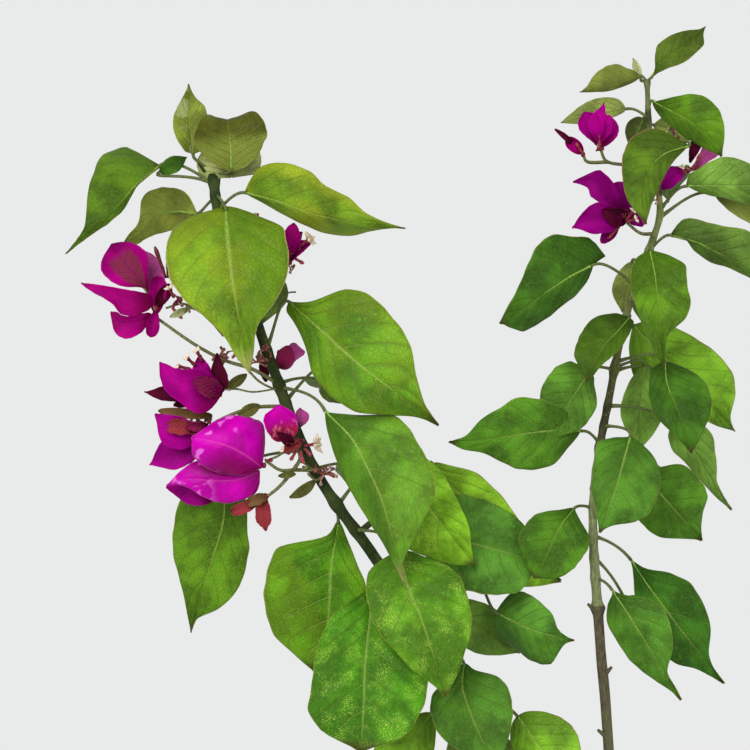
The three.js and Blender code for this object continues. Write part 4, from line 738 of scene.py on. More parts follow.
# Painted highlight: the pale rim of a glossy bract, where its margin catches the light.
GLOSSY_RIM_HIGHLIGHT_COLOUR = (0.6, 0.2, 0.32)
# Painted highlights: the glints on a glossy bract.
PAINTED_HIGHLIGHT_COLOUR = (0.66, 0.16, 0.6)

BIT_TINTS = {
    "dried": (0.17, 0.055, 0.04), "calyx": (0.14, 0.015, 0.025), "olive_bit": (0.15, 0.15, 0.05),
    "rusty_bit": (0.3, 0.08, 0.04), "pale_bit": (0.4, 0.36, 0.2),
}
LIGHT_BIT_COLOUR = (0.6, 0.4, 0.36)

BARK_TINTS = {
    "dark_stem": (0.014, 0.025, 0.005),
    "grey_bark": (0.066, 0.055, 0.033),
    "green_stem": (0.15, 0.17, 0.075),
}
# The finish of each cane's stems, and its leaves' slot
LEFT_LOOK = ("dark_stem", "bright_leaf")
RIGHT_LOOK = ("green_stem", "deep_leaf")
GREENED_BARK_COLOUR = (0.09, 0.12, 0.03)
CORK_COLOUR = (0.34, 0.28, 0.17)

# Where a stem's colour changes on its way up: the height in metres, and the colour above it
BANDS = {
    "green_stem": (
        (0.435, (0.03, 0.028, 0.012)), (0.475, (0.09, 0.1, 0.03)), (0.53, (0.15, 0.18, 0.05)),
        (0.585, (0.014, 0.022, 0.004)), (0.616, (0.07, 0.08, 0.035)),
    ),
}

TERRACOTTA_COLOUR = (0.5, 0.185, 0.085)
CLAY_GRAIN_COLOUR = (0.62, 0.33, 0.2)
SALT_COLOUR = (0.74, 0.64, 0.54)

# The finishes of small things: colour, roughness, scale of the grain, how much the colour varies
# and how deep the grain is, in metres
PLAIN_FINISHES = {
    "stalk": ((0.075, 0.1, 0.028), 0.55, 900.0, 0.3, 0.0003),
    "flower_stalk": ((0.1, 0.105, 0.035), 0.6, 900.0, 0.45, 0.0003),
    "vein": ((0.15, 0.25, 0.035), 0.55, 900.0, 0.3, 0.0003),
    "bud": ((0.22, 0.03, 0.04), 0.5, 900.0, 0.5, 0.0003),
    "club": ((0.09, 0.014, 0.014), 0.5, 900.0, 0.5, 0.0003),
    "cream": ((0.7, 0.58, 0.45), 0.5, 900.0, 0.15, 0.0003),
    "beige": ((0.5, 0.4, 0.28), 0.6, 900.0, 0.25, 0.0003),
    "compost": ((0.035, 0.021, 0.012), 0.95, 500.0, 0.5, 0.001),
    "crumb": ((0.06, 0.035, 0.018), 0.95, 700.0, 0.5, 0.0006),
    "chip": ((0.16, 0.085, 0.04), 0.9, 600.0, 0.45, 0.0006),
    "grit": ((0.62, 0.6, 0.55), 0.85, 900.0, 0.15, 0.0005),
}


def unit(way):
    """A way made one long."""
    return way / np.linalg.norm(way)


def ramp(value, span):
    """Rises evenly from 0 to 1 while a value goes from 0 to span."""
    return np.clip(value / span, 0, 1)


def level_way(turn):
    """The level way at an angle from the right."""
    return np.array([math.cos(turn), math.sin(turn), 0.0])


def turns(sides):
    """The angles of a ring's corners."""
    return np.arange(sides) * 2 * math.pi / sides


def seeded_numbers(seed):
    """Numbers that look random but are the same each time, as in the part's source."""
    state = [seed]

    def draw():
        """The next number, from 0 to 1."""
        state[0] = (state[0] * 16807) % 2147483647
        return state[0] / 2147483647

    return draw


def seen(across, high, back):
    """A place as it is seen, pushed back along its line of sight to where it really is."""
    on_plane = np.array([across, 0.0, high])
    return EYE + (on_plane - EYE) * (EYE_DISTANCE + back) / EYE_DISTANCE


def limb_at(limb, height):
    """A limb's place and radius at a height, on a smooth line through its rows."""
    row = 0
    while row < len(limb) - 2 and height > limb[row + 1][0]:
        row += 1

    def slope(at, column):
        """How steeply a column changes with the height at a row."""
        before = limb[max(at - 1, 0)]
        after = limb[min(at + 1, len(limb) - 1)]
        return (after[column] - before[column]) / (after[0] - before[0])

    span = limb[row + 1][0] - limb[row][0]
    t = (height - limb[row][0]) / span

    def value(column):
        """A column's value at the height."""
        bulge = t * t * (3 - 2 * t)
        between_rows = limb[row][column] * (1 - bulge) + limb[row + 1][column] * bulge
        leaving = slope(row, column) * span * t * (1 - t) * (1 - t)
        arriving = slope(row + 1, column) * span * t * t * (t - 1)
        return between_rows + leaving + arriving

    return seen(value(1), height, value(2)), value(3)


class Pile:
    """Points, faces, finishes and flat places that are gathered up and made into one mesh."""

    def __init__(self, name):
        """Starts an empty pile, which takes its piece's name."""
        self.name = name
        self.points = []
        self.faces = []
        self.finishes = []
        self.smooth = []
        self.places = []
        self.cells = []
        self.count = 0
        self.blades = 0

    def add(self, points, faces, finish, smooth=True, places=None, cells=None):
        """Adds points and faces.

        places are on the blade's own map, and cells are the points' numbers on the colour map.
        """
        points = np.asarray(points).reshape(-1, 3)
        self.points.append(points)
        self.faces.extend([[corner + self.count for corner in face] for face in faces])
        self.finishes.extend([finish] * len(faces) if isinstance(finish, str) else finish)
        self.smooth.extend([smooth] * len(faces) if isinstance(smooth, bool) else smooth)
        self.places.append(np.zeros((len(points), 2)) if places is None else places)
        self.cells.append(np.zeros(len(points), int) if cells is None else cells)
        self.count += len(points)

    def build(self, finishes, node=None, maps=True):
        """Makes the mesh, with its materials dealt out by face, and hands it to the frame."""
        mesh = bpy.data.meshes.new(self.name)
        mesh.from_pydata((np.concatenate(self.points) * MM).tolist(), [], self.faces)
        names = sorted(set(self.finishes))
        for name in names:
            mesh.materials.append(finishes[name])
        mesh.polygons.foreach_set("material_index", [names.index(name) for name in self.finishes])
        mesh.polygons.foreach_set("use_smooth", self.smooth)
        corners = np.empty(len(mesh.loops), np.int32)
        mesh.loops.foreach_get("vertex_index", corners)
        if maps:
            places = np.concatenate(self.places)
            cells = np.concatenate(self.cells)
            across = math.ceil(math.sqrt(cells.max() + 1))
            cell_foot = np.stack([cells % across, cells // across], 1)
            on_map = (cell_foot + MAP_MARGIN + (1 - 2 * MAP_MARGIN) * places) / across
            for layer, values in (("Blade", places), ("OFBake", on_map)):
                flat = values[corners].astype(np.float32).ravel()
                mesh.uv_layers.new(name=layer).uv.foreach_set("vector", flat)
        mesh.update()
        piece = bpy.data.objects.new(self.name, mesh)
        bpy.context.scene.collection.objects.link(piece)
        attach(piece, "root")
        if node:
            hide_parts(node)
        return piece


def spokes_along(points):
    """Two spokes square to a path at each of its points, turned as little as they can be."""
    ways = np.gradient(points, axis=0)
    ways /= np.linalg.norm(ways, axis=1)[:, None]
    spoke = np.cross(ways[0], [0.0, 1.0, 0.0])
    if np.linalg.norm(spoke) < 0.2:
        spoke = np.cross(ways[0], [1.0, 0.0, 0.0])
    first, second = [], []
    for way in ways:
        spoke = unit(spoke - way * spoke.dot(way))
        first.append(spoke)
        second.append(np.cross(way, spoke))
    return np.array(first), np.array(second)


def tube(pile, points, radii, sides, finish):
    """A closed round bar through points. radii has one value a ring, or one a corner."""
    points = np.asarray(points, float)
    radii = np.asarray(radii, float)
    first, second = spokes_along(points)
    turn = turns(sides)[None, :, None]
    if radii.ndim == 1:
        radii = np.repeat(radii[:, None], sides, axis=1)
    ring = first[:, None] * np.cos(turn) + second[:, None] * np.sin(turn)
    rings = points[:, None] + ring * radii[:, :, None]
    faces = []
    for at in range(len(points) - 1):
        for side in range(sides):
            beside = (side + 1) % sides
            low, high = at * sides, (at + 1) * sides
            faces.append([low + side, low + beside, high + beside, high + side])
    faces.append(list(range(sides))[::-1])
    faces.append([(len(points) - 1) * sides + side for side in range(sides)])
    pile.add(rings, faces, finish, [True] * (len(faces) - 2) + [False, False])


def smooth_path(places, steps):
    """Points on a smooth line through places, steps to each stretch."""
    places = [np.asarray(place, float) for place in places]
    ends = [2 * places[0] - places[1], *places, 2 * places[-1] - places[-2]]
    made = []
    for before, start, end, after in zip(ends, ends[1:], ends[2:], ends[3:]):
        for step in range(steps):
            t = step / steps
            made.append(0.5 * (
                2 * start + (end - before) * t + (2 * before - 5 * start + 4 * end - after) * t * t
                + (3 * start - before - 3 * end + after) * t ** 3))
    made.append(places[-1])
    return made


def vein_phase(t, edge):
    """Whole numbers of this fall on the side veins, which leave the midrib by turns."""
    return VEINS * (t - VEIN_RISE * np.abs(edge) ** VEIN_BEND * (1 - 0.3 * t)) + 0.5 * (edge > 0)


def blade_width(t, base, point, fullness):
    """How wide a blade is along its length, as a share of its widest."""
    fall = base / (base + fullness * point)
    widest = fall ** (1 / fullness)
    return (t / widest) ** base * ((1 - t ** fullness) / (1 - fall)) ** point


def eased(stations, values, t):
    """Values between stations, on a smooth line that never swings past them."""
    values = [0, *values, 0]
    steps = [(end - start) / (there - here)
             for start, end, here, there in zip(values, values[1:], stations, stations[1:])]
    slopes = [steps[0]]
    for before, after in zip(steps, steps[1:]):
        slopes.append(2 * before * after / (before + after) if before * after > 0 else 0)
    slopes.append(steps[-1])
    at = np.clip(np.searchsorted(stations, t, side="right") - 1, 0, len(steps) - 1)
    here, value, slope = np.array(stations)[at], np.array(values)[at], np.array(slopes)
    span = np.diff(stations)[at]
    share = (t - here) / span
    rise = share * share * (3 - 2 * share)
    leaving = slope[at] * span * share * (1 - share) ** 2
    arriving = slope[at + 1] * span * share ** 2 * (share - 1)
    return value + (np.array(values)[at + 1] - value) * rise + leaving + arriving


def facing_axes(foot, tip):
    """A blade's way along, the way it faces when it has no roll, and its way across then."""
    along = unit(tip - foot)
    facing = EYE - foot
    facing = unit(facing - along * facing.dot(along))
    return along, facing, np.cross(facing, along)


def blade_axes(foot, tip, roll):
    """A blade's way along, its way across and its upper side's way."""
    along, facing, across = facing_axes(foot, tip)
    turn = math.radians(roll)
    up = facing * math.cos(turn) + across * math.sin(turn)
    side = across * math.cos(turn) - facing * math.sin(turn)
    return along, side, up


def lobe_depth(form):
    """How far the lobes at a blade's foot reach back. A slim base has none."""
    return max(LOBED_BELOW - form["base"], 0) * LOBE_SHARE * form["wide"]


def blade_place(foot, tip, form, t, edge, raised):
    """The source's own rule for a place on a blade, for shares along and across it."""
    along, side, up = blade_axes(foot, tip, form["roll"])
    length = np.linalg.norm(tip - foot)
    fold = math.radians(form["fold"])
    half = form["wide"] / 2 * blade_width(t, form["base"], form["point"], form["fullness"])
    bow = 4 * t * (1 - t) * length
    return (
        foot + along * (t * length - lobe_depth(form) * abs(edge) * (1 - t) ** LOBE_FADE)
        + side * (edge * half * math.cos(fold) + form["sweep"] * bow)
        + up * (abs(edge) * half * math.sin(fold) + form["arch"] * bow + raised))


def blade_grid(rows, columns, first):
    """Each grid point's share along a blade, and its place across it, from first to 1."""
    along = np.linspace(0, 1, rows + 1) ** ROW_CROWDING
    return np.meshgrid(along, np.linspace(first, 1, columns + 1), indexing="ij")


def blade_relief(form, t, edge, half, length, rng):
    """How far a blade's upper side is raised: quilted between its veins, wavy, drooping, creased."""
    left = edge > 0
    distance = np.abs(edge)
    off_foot, off_tip = ramp(t, 0.1), ramp(1 - t, 0.1)
    calm_ends = ramp(1 - t, 0.15) * ramp(t, 0.08)
    quilted = np.abs(np.sin(math.pi * vein_phase(t, edge))) ** 0.8
    raised = form["quilt"] * quilted * (1 - distance ** 4) * ramp(distance, 0.12) * calm_ends
    raised -= 0.5 * form["quilt"] * np.exp(-((edge * half / 1.1) ** 2)) * off_tip
    phase = 2 * math.pi * (form["waves"] * t + rng.uniform(0, 1)) + np.where(left, rng.uniform(0, 6), 0)
    raised += form["wavy"] * distance ** 2.5 * np.sin(phase) * off_foot * off_tip
    raised -= form["droop"] * length * ramp(t - 0.7, 0.3) ** 2
    slow = np.sin(2.3 * math.pi * t + 1.5 * edge + rng.uniform(0, 6))
    raised += 0.012 * length * slow * np.sqrt(t)
    creases = np.sin(31 * t + 11 * edge + rng.uniform(0, 6))
    creases = creases * np.sin(23 * edge - 13 * t + rng.uniform(0, 6))
    return raised + form["creased"] * creases * off_foot


def fine_blade(foot, tip, form, rows, columns, rng):
    """A grid over a blade's upper side by the same rule, with its relief, and its upper side's way.

    An edge over 0 is on the left hand of someone who looks from the foot to the tip.
    """
    along, side, up = blade_axes(foot, tip, form["roll"])
    length = np.linalg.norm(tip - foot)
    t, edge = blade_grid(rows, columns, -1)
    left = edge > 0
    distance = np.abs(edge)
    fold = np.radians(np.where(left, form["fold_left"], form["fold_right"]))
    cup = math.radians(form["cup"] if abs(form["cup"]) > FLATTEST_CUP else FLATTEST_CUP)
    bow = 4 * t * (1 - t) * length
    lobe = lobe_depth(form)
    lobe = np.where(left, form.get("lobe_left", lobe), form.get("lobe_right", lobe))
    if "mid" in form:
        turned = math.cos(math.radians(form["roll"])) < 0
        margins = (form["right"], form["left"]) if turned else (form["left"], form["right"])
        middle = eased(MIDRIB_STATIONS, form["mid"], t) * (-1 if turned else 1)
        left_half, right_half = (eased(MARGIN_STATIONS, margin, t) for margin in margins)
        half = np.where(left, left_half - middle, right_half + middle)
        half = np.maximum(half, LEAST_HALF_WIDTH) * cup / (np.sin(fold + cup) - np.sin(fold))
    else:
        middle = form["sweep"] * bow
        width = blade_width(t, form["base"], form["point"], form["fullness"])
        share = np.where(left, form["left"], form["right"])
        half = form["wide"] / 2 * width * share + LEAST_HALF_WIDTH
    coarse, fine = np.sin(17 * t + rng.uniform(0, 6)), np.sin(29 * t + 3 * left)
    half = half * (1 + form["ragged"] * coarse * fine)
    raised = blade_relief(form, t, edge, half, length, rng)

    across = half * (np.sin(fold + cup * distance) - np.sin(fold)) / cup * np.sign(edge)
    lifted = half * (np.cos(fold) - np.cos(fold + cup * distance)) / cup + raised
    twist = np.radians(form["twist"]) * (t - 0.4)
    sideways = across * np.cos(twist) - lifted * np.sin(twist) + middle
    upward = across * np.sin(twist) + lifted * np.cos(twist) + form["arch"] * bow
    forward = t * length - lobe * distance * (1 - t) ** LOBE_FADE

    if form["curl"]:
        curl = math.radians(form["curl"])
        begins = form["curl_from"]
        bent = curl * ramp(t - begins, 1 - begins)
        reach = length * (1 - begins) / curl
        past = t > begins
        forward = np.where(past, begins * length + (reach + upward) * np.sin(bent), forward)
        upward = np.where(past, upward * np.cos(bent) - reach * (1 - np.cos(bent)), upward)

    grid = foot + along * forward[..., None] + side * sideways[..., None] + up * upward[..., None]
    return grid, up


def sheet_faces(rows, columns):
    """The faces of a thin closed sheet of two layers, and which are its rim."""
    wide = columns + 1
    layer = (rows + 1) * wide
    faces, kinds = [], []
    for row in range(rows):
        for column in range(columns):
            at = row * wide + column
            faces.append([at, at + wide, at + wide + 1, at + 1])
            kinds.append("upper")
            faces.append([layer + at, layer + at + 1, layer + at + wide + 1, layer + at + wide])
            kinds.append("lower")
    rim = list(range(wide))
    rim += [row * wide + columns for row in range(1, rows + 1)]
    rim += [rows * wide + column for column in range(columns - 1, -1, -1)]
    rim += [row * wide for row in range(rows - 1, 0, -1)]
    for here, there in zip(rim, rim[1:] + rim[:1]):
        faces.append([here, there, layer + there, layer + here])
        kinds.append("rim")
    return faces, kinds


# The rows and columns of a blade's grid: a leaf that is seen well, a low leaf and a bract
FINE_GRID = (48, 24)
PLAIN_GRID = (28, 16)
BRACT_GRID = (26, 20)
FACES_OF = {grid: sheet_faces(*grid) for grid in (FINE_GRID, PLAIN_GRID, BRACT_GRID)}


def add_blade(pile, foot, tip, form, grid_size, finish, under, rng):
    """A thin blade of two layers. Returns the line of its midrib, on its lower side."""
    grid, up = fine_blade(foot, tip, form, *grid_size, rng)
    downward = np.cross(np.gradient(grid, axis=1), np.gradient(grid, axis=0))
    lower = grid + form["thick"] * downward / (np.linalg.norm(downward, axis=2, keepdims=True) + 1e-9)
    faces, kinds = FACES_OF[grid_size]
    finishes = [under if kind == "lower" else finish for kind in kinds]
    smooth = [kind != "rim" for kind in kinds]
    t, share = blade_grid(*grid_size, 0)
    flat = np.stack([share.ravel(), t.ravel()], 1)
    cell = 2 * pile.blades
    cells = np.repeat([cell, cell + 1], len(flat))
    points = np.concatenate([grid.reshape(-1, 3), lower.reshape(-1, 3)])
    pile.add(points, faces, finishes, smooth, np.concatenate([flat, flat]), cells)
    pile.blades += 1
    return lower[:, grid_size[1] // 2], up


def leaf_form(wide, roll, fold, arch, sweep, base, point, fullness, rng, look=None):
    """What a leaf's blade is made by. look holds what is special about this leaf."""
    form = {
        "wide": wide, "roll": roll, "fold": fold, "arch": arch, "sweep": sweep, "base": base,
        "point": point, "fullness": fullness, "left": 1, "right": 1, "thick": FINE_LEAF_THICK,
        "quilt": 0.022 * wide, "waves": rng.uniform(1.6, 3.2),
        "wavy": 0.022 * wide * rng.uniform(0.5, 1.3),
        "cup": rng.uniform(-16, 6), "droop": rng.uniform(0.0, 0.05), "creased": 0.0, "ragged": 0.012,
        "twist": rng.uniform(-9, 9), "curl": 0, "curl_from": 0.4,
    }
    form["fold_left"] = form["fold_right"] = fold
    form.update(look or {})
    if "mid" in form:
        form["twist"] = 0
    return form


def grow_leaf(pile, stems, root, foot, tip, form, tint, rng, grid_size=FINE_GRID):
    """A leaf: its stalk, which runs on as a midrib under the blade, and the blade."""
    midrib, up = add_blade(pile, foot, tip, form, grid_size, tint, tint + "_under", rng)
    reach = np.linalg.norm(foot - root)
    along = unit(tip - foot)
    leaving = root * 0.55 + foot * 0.45 + np.array([0, 0, reach * 0.14])
    arriving = foot - along * reach * 0.3
    share = np.linspace(0, 1, STALK_RINGS)
    t = share[:, None]
    path = (1 - t) ** 3 * root + 3 * (1 - t) ** 2 * t * leaving
    path = path + 3 * (1 - t) * t * t * arriving + t ** 3 * foot
    radii = STALK_RADIUS * (0.82 + 0.5 * np.exp(-((share / 0.16) ** 2)) + 0.18 * share ** 4)
    tube(stems, np.concatenate([path[:-1], [foot - up * 0.2]]), radii, 8, "stalk")
    rib = midrib[1:-4:2]
    rib_path = np.concatenate([[foot - up * 0.25], rib + up * 0.15])
    rib_radii = np.linspace(0.85, 0.16, len(rib_path)) * min(form["wide"] / 40, 1) ** 0.5
    tube(pile, rib_path, rib_radii, 6, "vein")


def leaf_from_row(pile, stems, limb, row, rng):
    """A leaf as its row in a table says."""
    look = row[-1] if isinstance(row[-1], dict) else None
    values = row[:-1] if look else row
    tint, height, foot_x, foot_z, foot_back, tip_x, tip_z, tip_back, *rest = values
    form = leaf_form(*rest, *(LEAF_POINT, LEAF_FULLNESS)[len(rest) - 6:], rng, look)
    foot, tip = seen(foot_x, foot_z, foot_back), seen(tip_x, tip_z, tip_back)
    if form["roll"] is None:
        form["roll"] = roll_to_face_up(foot, tip)
    grow_leaf(pile, stems, limb_at(limb, height)[0], foot, tip, form, tint, rng)


def bark_relief(count, sides, radii, deep, rng):
    """Radii of a limb with fine furrows along it and slow swellings."""
    turn = turns(sides)
    at = np.arange(count)[:, None]
    phases = [rng.uniform(0, 6.28) for _ in range(4)]
    furrow = np.sin(5 * turn + 0.05 * at + phases[0]) * np.sin(0.11 * at + phases[1])
    furrow = furrow + 0.6 * np.sin(9 * turn - 0.09 * at + phases[2])
    lumps = 0.5 * np.sin(0.31 * at + phases[3] + turn)
    return radii[:, None] * (1 + deep * (furrow + lumps))


def limb(pile, rows, low, high, sides, finish, nodes, deep, rng):
    """A limb between two heights, swollen where stalks leave it."""
    heights = np.linspace(low, high, max(3, int((high - low) / LIMB_STEP)))
    stops = [limb_at(rows, height) for height in heights]
    radii = np.array([radius for _, radius in stops])
    for node in nodes:
        radii = radii + NODE_SWELLING * radii * np.exp(-(((heights - node) / NODE_LENGTH) ** 2))
    radii = bark_relief(len(heights), sides, radii, deep, rng)
    tube(pile, np.array([centre for centre, _ in stops]), radii, sides, finish)


def foliage(node, cane, cuts, leaves, look, side_shoot=(), side_leaves=()):
    """A mass of foliage: its length of cane with the side shoot, and its leaves."""
    stem_finish, slot = look
    rng = random.Random(node)
    blades = Pile(node + "_leaves")
    stems = Pile(node + "_stems")
    nodes = [row[1] for row in leaves] + KNOTS.get(node, [])
    limb(stems, cane, *cuts, CANE_SIDES, stem_finish, nodes, CANE_FURROWS, rng)
    for row in leaves:
        leaf_from_row(blades, stems, cane, row, rng)
    if side_shoot:
        ends = side_shoot[0][0], side_shoot[-1][0]
        limb(stems, side_shoot, *ends, SHOOT_SIDES, stem_finish, [], SHOOT_FURROWS, rng)
        for row in side_leaves:
            leaf_from_row(blades, stems, side_shoot, row, rng)
    short_stubs(stems, node, stem_finish)
    blades.build(FINISHES, node)
    stems.build(FINISHES, node, maps=False)


def small_flower(pile, start, kind, long, heading, rng):
    """A small tube flower: a closed bud or a slim club, or an open one with its star of lobes."""
    turn = math.radians(heading)
    way = unit(np.array([math.cos(turn), -0.3, math.sin(turn)]))
    bend = np.array([rng.uniform(-0.15, 0.15), rng.uniform(-0.2, 0.1), rng.uniform(-0.1, 0.2)])
    share = np.linspace(0, 1, 9)
    path = start + np.outer(share, way) * long + np.outer(share ** 2, bend) * long
    finish, shape = FLOWER_TUBES[kind]
    tube(pile, path, np.array(shape) * (0.8 + 0.02 * long), 8, finish)
    if kind not in FLOWER_LOBES:
        return
    lobes, reach, lobe_finish = FLOWER_LOBES[kind]
    wide = 0.36 * reach ** 0.5
    first, second = spokes_along(path[-2:])
    for lobe in range(lobes):
        angle = lobe * 2 * math.pi / lobes + rng.uniform(-0.15, 0.15)
        out = first[-1] * math.cos(angle) + second[-1] * math.sin(angle)
        far = reach * rng.uniform(0.8, 1.15)
        middle = path[-1] + out * far * 0.5 + way * far * 0.35
        tip = path[-1] + out * far * 0.95 + way * far * rng.uniform(0.25, 0.6)
        radii = [0.5 * wide, 1.3 * wide, 0.2 * wide]
        tube(pile, [path[-1] + out * 0.3, middle, tip], radii, 6, lobe_finish)
    tube(pile, [path[-1] - way, path[-1] + way * 0.6], [0.5, 0.3], 6, lobe_finish)


def bunch(pile, centre, tint, count, long, rng):
    """A bunch of curled bits, such as dried flowers, each a bent tube with a knob at its end."""
    for _ in range(count):
        turn, rise = rng.uniform(0, 2 * math.pi), rng.uniform(-0.35, 1.2)
        way = level_way(turn) * math.cos(rise) + np.array([0, 0, math.sin(rise)])
        aside = unit(np.cross(way, [rng.uniform(-1, 1), rng.uniform(-1, 1), rng.uniform(-1, 1)]))
        reach = long * rng.uniform(0.55, 1.0)
        bend = rng.uniform(1.2, 3.4)
        share = np.linspace(0, 1, 8)
        path = centre + np.outer(np.sin(bend * share) / bend, way) * reach
        path = path + np.outer((1 - np.cos(bend * share)) / bend, aside) * reach
        radii = np.array([0.35, 0.4, 0.38, 0.36, 0.36, 0.5, 0.85, 0.35]) * rng.uniform(0.8, 1.25)
        tube(pile, path, radii, 6, tint if rng.random() < 0.75 else tint + "_light")


def bract_form(wide, roll, rng, look):
    """What a bract's blade is made by."""
    form = {
        "wide": wide, "roll": roll, "fold": 10, "arch": 0.12, "sweep": 0, "base": 0.6, "point": 0.7,
        "fullness": BRACT_FULLNESS, "left": 1, "right": 1, "thick": FINE_BRACT_THICK,
        "quilt": 0.014 * wide, "waves": rng.uniform(1.2, 2.4),
        "wavy": 0.045 * wide * rng.uniform(0.6, 1.2), "cup": 30,
        "droop": rng.uniform(-0.02, 0.08), "creased": 0.006 * wide, "ragged": 0.02,
        "twist": rng.uniform(-20, 20), "curl": 0, "curl_from": 0.4,
    }
    form.update(look)
    form["fold_left"] = form["fold_right"] = form["fold"]
    if "mid" in form:
        form["twist"] = 0
    return form


def flowering_twig(twig):
    """A flowering twig with its bracts and small flowers, all in one mass."""
    name = twig["name"]
    rng = random.Random(name)
    blades = Pile(name + "_petals")
    stems = Pile(name + "_twigs")
    root, radius = limb_at(twig["cane"], twig["from"])
    for at, places in enumerate(twig["twigs"]):
        points = [seen(*place) for place in places]
        if at == 0:
            points.insert(0, root + unit(points[0] - root) * radius * 0.6)
        path = smooth_path(points, 8)
        tube(stems, path, np.linspace(1.0, 0.75, len(path)), 8, "flower_stalk")
    for bloom in twig["blooms"]:
        heart = seen(*bloom["heart"])
        knob = [heart + np.array([0, 0, rise]) for rise in (-1.5, 0, 1.2)]
        tube(stems, knob, [0.8, 1.3, 0.7], 8, "calyx")
        for tint, tip_x, tip_z, tip_back, wide, roll, look in bloom["bracts"]:
            tip = seen(tip_x, tip_z, tip_back)
            foot = seen(*look["start"]) if "start" in look else heart + unit(tip - heart) * BRACT_START
            form = bract_form(wide, roll, rng, look)
            add_blade(blades, foot, tip, form, BRACT_GRID, tint, tint, rng)
    for kind, across, high, back, long, heading in SMALL_FLOWERS.get(name, []):
        small_flower(stems, seen(across, high, back), kind, long, heading, rng)
    for tint, across, high, back, count, long in BUNCHES.get(name, []):
        bunch(stems, seen(across, high, back), tint, count, long, rng)
    for thick, places in FINE_STALKS.get(name, []):
        path = smooth_path([seen(*place) for place in places], 7)
        tube(stems, path, np.linspace(thick * 1.15, thick * 0.85, len(path)), 7, "flower_stalk")
    for tint, foot, tip, wide, roll in SMALL_LEAVES.get(name, []):
        form = leaf_form(wide, roll, 20, 0.1, 0, 0.7, 0.9, 2.0, rng)
        add_blade(blades, seen(*foot), seen(*tip), form, BRACT_GRID, tint, tint + "_under", rng)
    blades.build(FINISHES, name)
    stems.build(FINISHES, name, maps=False)


def trunk_at(height):
    """The trunk's place and radius at a height: it flares at its foot and leans a little."""
    t = (height - COMPOST_TOP) / (FORK_HEIGHT - COMPOST_TOP)
    flare = (1 - t) ** 3
    radius = TRUNK_TOP_RADIUS + (TRUNK_FOOT_RADIUS - TRUNK_TOP_RADIUS) * flare
    return np.array([-TRUNK_LEAN * (1 - t), 0.0, height]), radius


def roll_to_face_up(foot, tip):
    """The roll that turns a blade's upper side to the sky."""
    _, facing, across = facing_axes(foot, tip)
    return math.degrees(math.atan2(across[2], facing[2]))


def keeps_to_its_space(foot, tip, form, middle, heading, sector):
    """Whether a blade stays in its sector, over the rim, under the lowest line seen and off the cane."""
    stations = [0.06, 0.36, 0.72]
    places = [(0, 0), (1, 0)] + [(t, edge) for t in stations for edge in (-1, 0, 1)]
    for raised in (LEAF_THICK / 2, -LEAF_THICK / 2):
        for t, edge in places:
            corner = blade_place(foot, tip, form, t, edge, raised)
            east, north = corner[0] - middle[0], corner[1] - middle[1]
            ahead = east * math.cos(heading) + north * math.sin(heading)
            aside = abs(north * math.cos(heading) - east * math.sin(heading))
            ceiling = EYE[2] - LOWEST_SEEN * (EYE_DISTANCE + corner[1]) / EYE_DISTANCE
            if aside > ahead * math.tan(sector) - 1 or corner[2] > ceiling - CLEAR_OF_LINE:
                return False
            over_pot = math.hypot(corner[0], corner[1]) < POT_TOP_RADIUS + CLEAR_OF_RIM
            if over_pot and corner[2] < POT_HEIGHT + CLEAR_OF_POT:
                return False
            centre, _ = limb_at(LEFT_CANE, max(corner[2], FORK_HEIGHT))
            if math.hypot(corner[0] - centre[0], corner[1] - centre[1]) < CLEAR_OF_CANE:
                return False
    return True


def low_shoot(number, draw):
    """A low shoot: a stem that rises outward from the trunk with leaves to its left and right."""
    node = f"low_foliage_{number + 1}"
    rng = random.Random(node)
    blades = Pile(node + "_leaves")
    stems = Pile(node + "_stems")
    heading = math.radians(LOW_SHOOT_TURN + number * 360 / LOW_SHOOTS)
    sector = math.pi / LOW_SHOOTS
    rise = LOW_SHOOT_RISE * (0.85 + 0.3 * draw())
    centre, radius = trunk_at(COMPOST_TOP + LOW_SHOOT_FOOT + LOW_SHOOT_STEP * number)
    start = radius + ROOT_LOBE + GAP

    def stem_at(t):
        """The stem's place at a share of its reach."""
        high = centre[2] + 4 * t + rise * t ** 1.4
        return np.array([centre[0], centre[1], high]) + level_way(heading) * (start + LOW_SHOOT_REACH * t)

    inner = np.array([centre[0], centre[1], centre[2] - 1])
    path = [inner] + [stem_at(t) for t in np.linspace(0, 1, 40)]
    radii = LOW_SHOOT_RADIUS * np.linspace(1.05, 0.5, len(path))
    radii = bark_relief(len(path), SHOOT_SIDES, radii, LOW_SHOOT_FURROWS, rng)
    tube(stems, path, radii, SHOOT_SIDES, "green_stem")
    for at in range(LOW_SHOOT_LEAVES):
        last = at == LOW_SHOOT_LEAVES - 1
        t = 0.3 + 0.7 * at / (LOW_SHOOT_LEAVES - 1)
        turn = (1 if at % 2 else -1) * (0.35 + 0.3 * draw()) * (0.1 if last else 1)
        long = 34 + 14 * draw()
        dip = 0.15 + 0.5 * draw()
        root = stem_at(t)
        way = level_way(heading + turn)
        foot = root + way * 12 + np.array([0, 0, 5])
        tip = foot + way * long * math.cos(dip) - np.array([0, 0, long * math.sin(dip)])
        roll = roll_to_face_up(foot, tip)
        form = leaf_form(long * 0.66, roll, 10, 0.06, 0, 0.5, LEAF_POINT, LEAF_FULLNESS, rng)
        if keeps_to_its_space(foot, tip, form, centre, heading, sector):
            grow_leaf(blades, stems, root, foot, tip, form, LOW_SHOOT_TINTS[at], rng, PLAIN_GRID)
    blades.build(FINISHES, node)
    stems.build(FINISHES, node, maps=False)


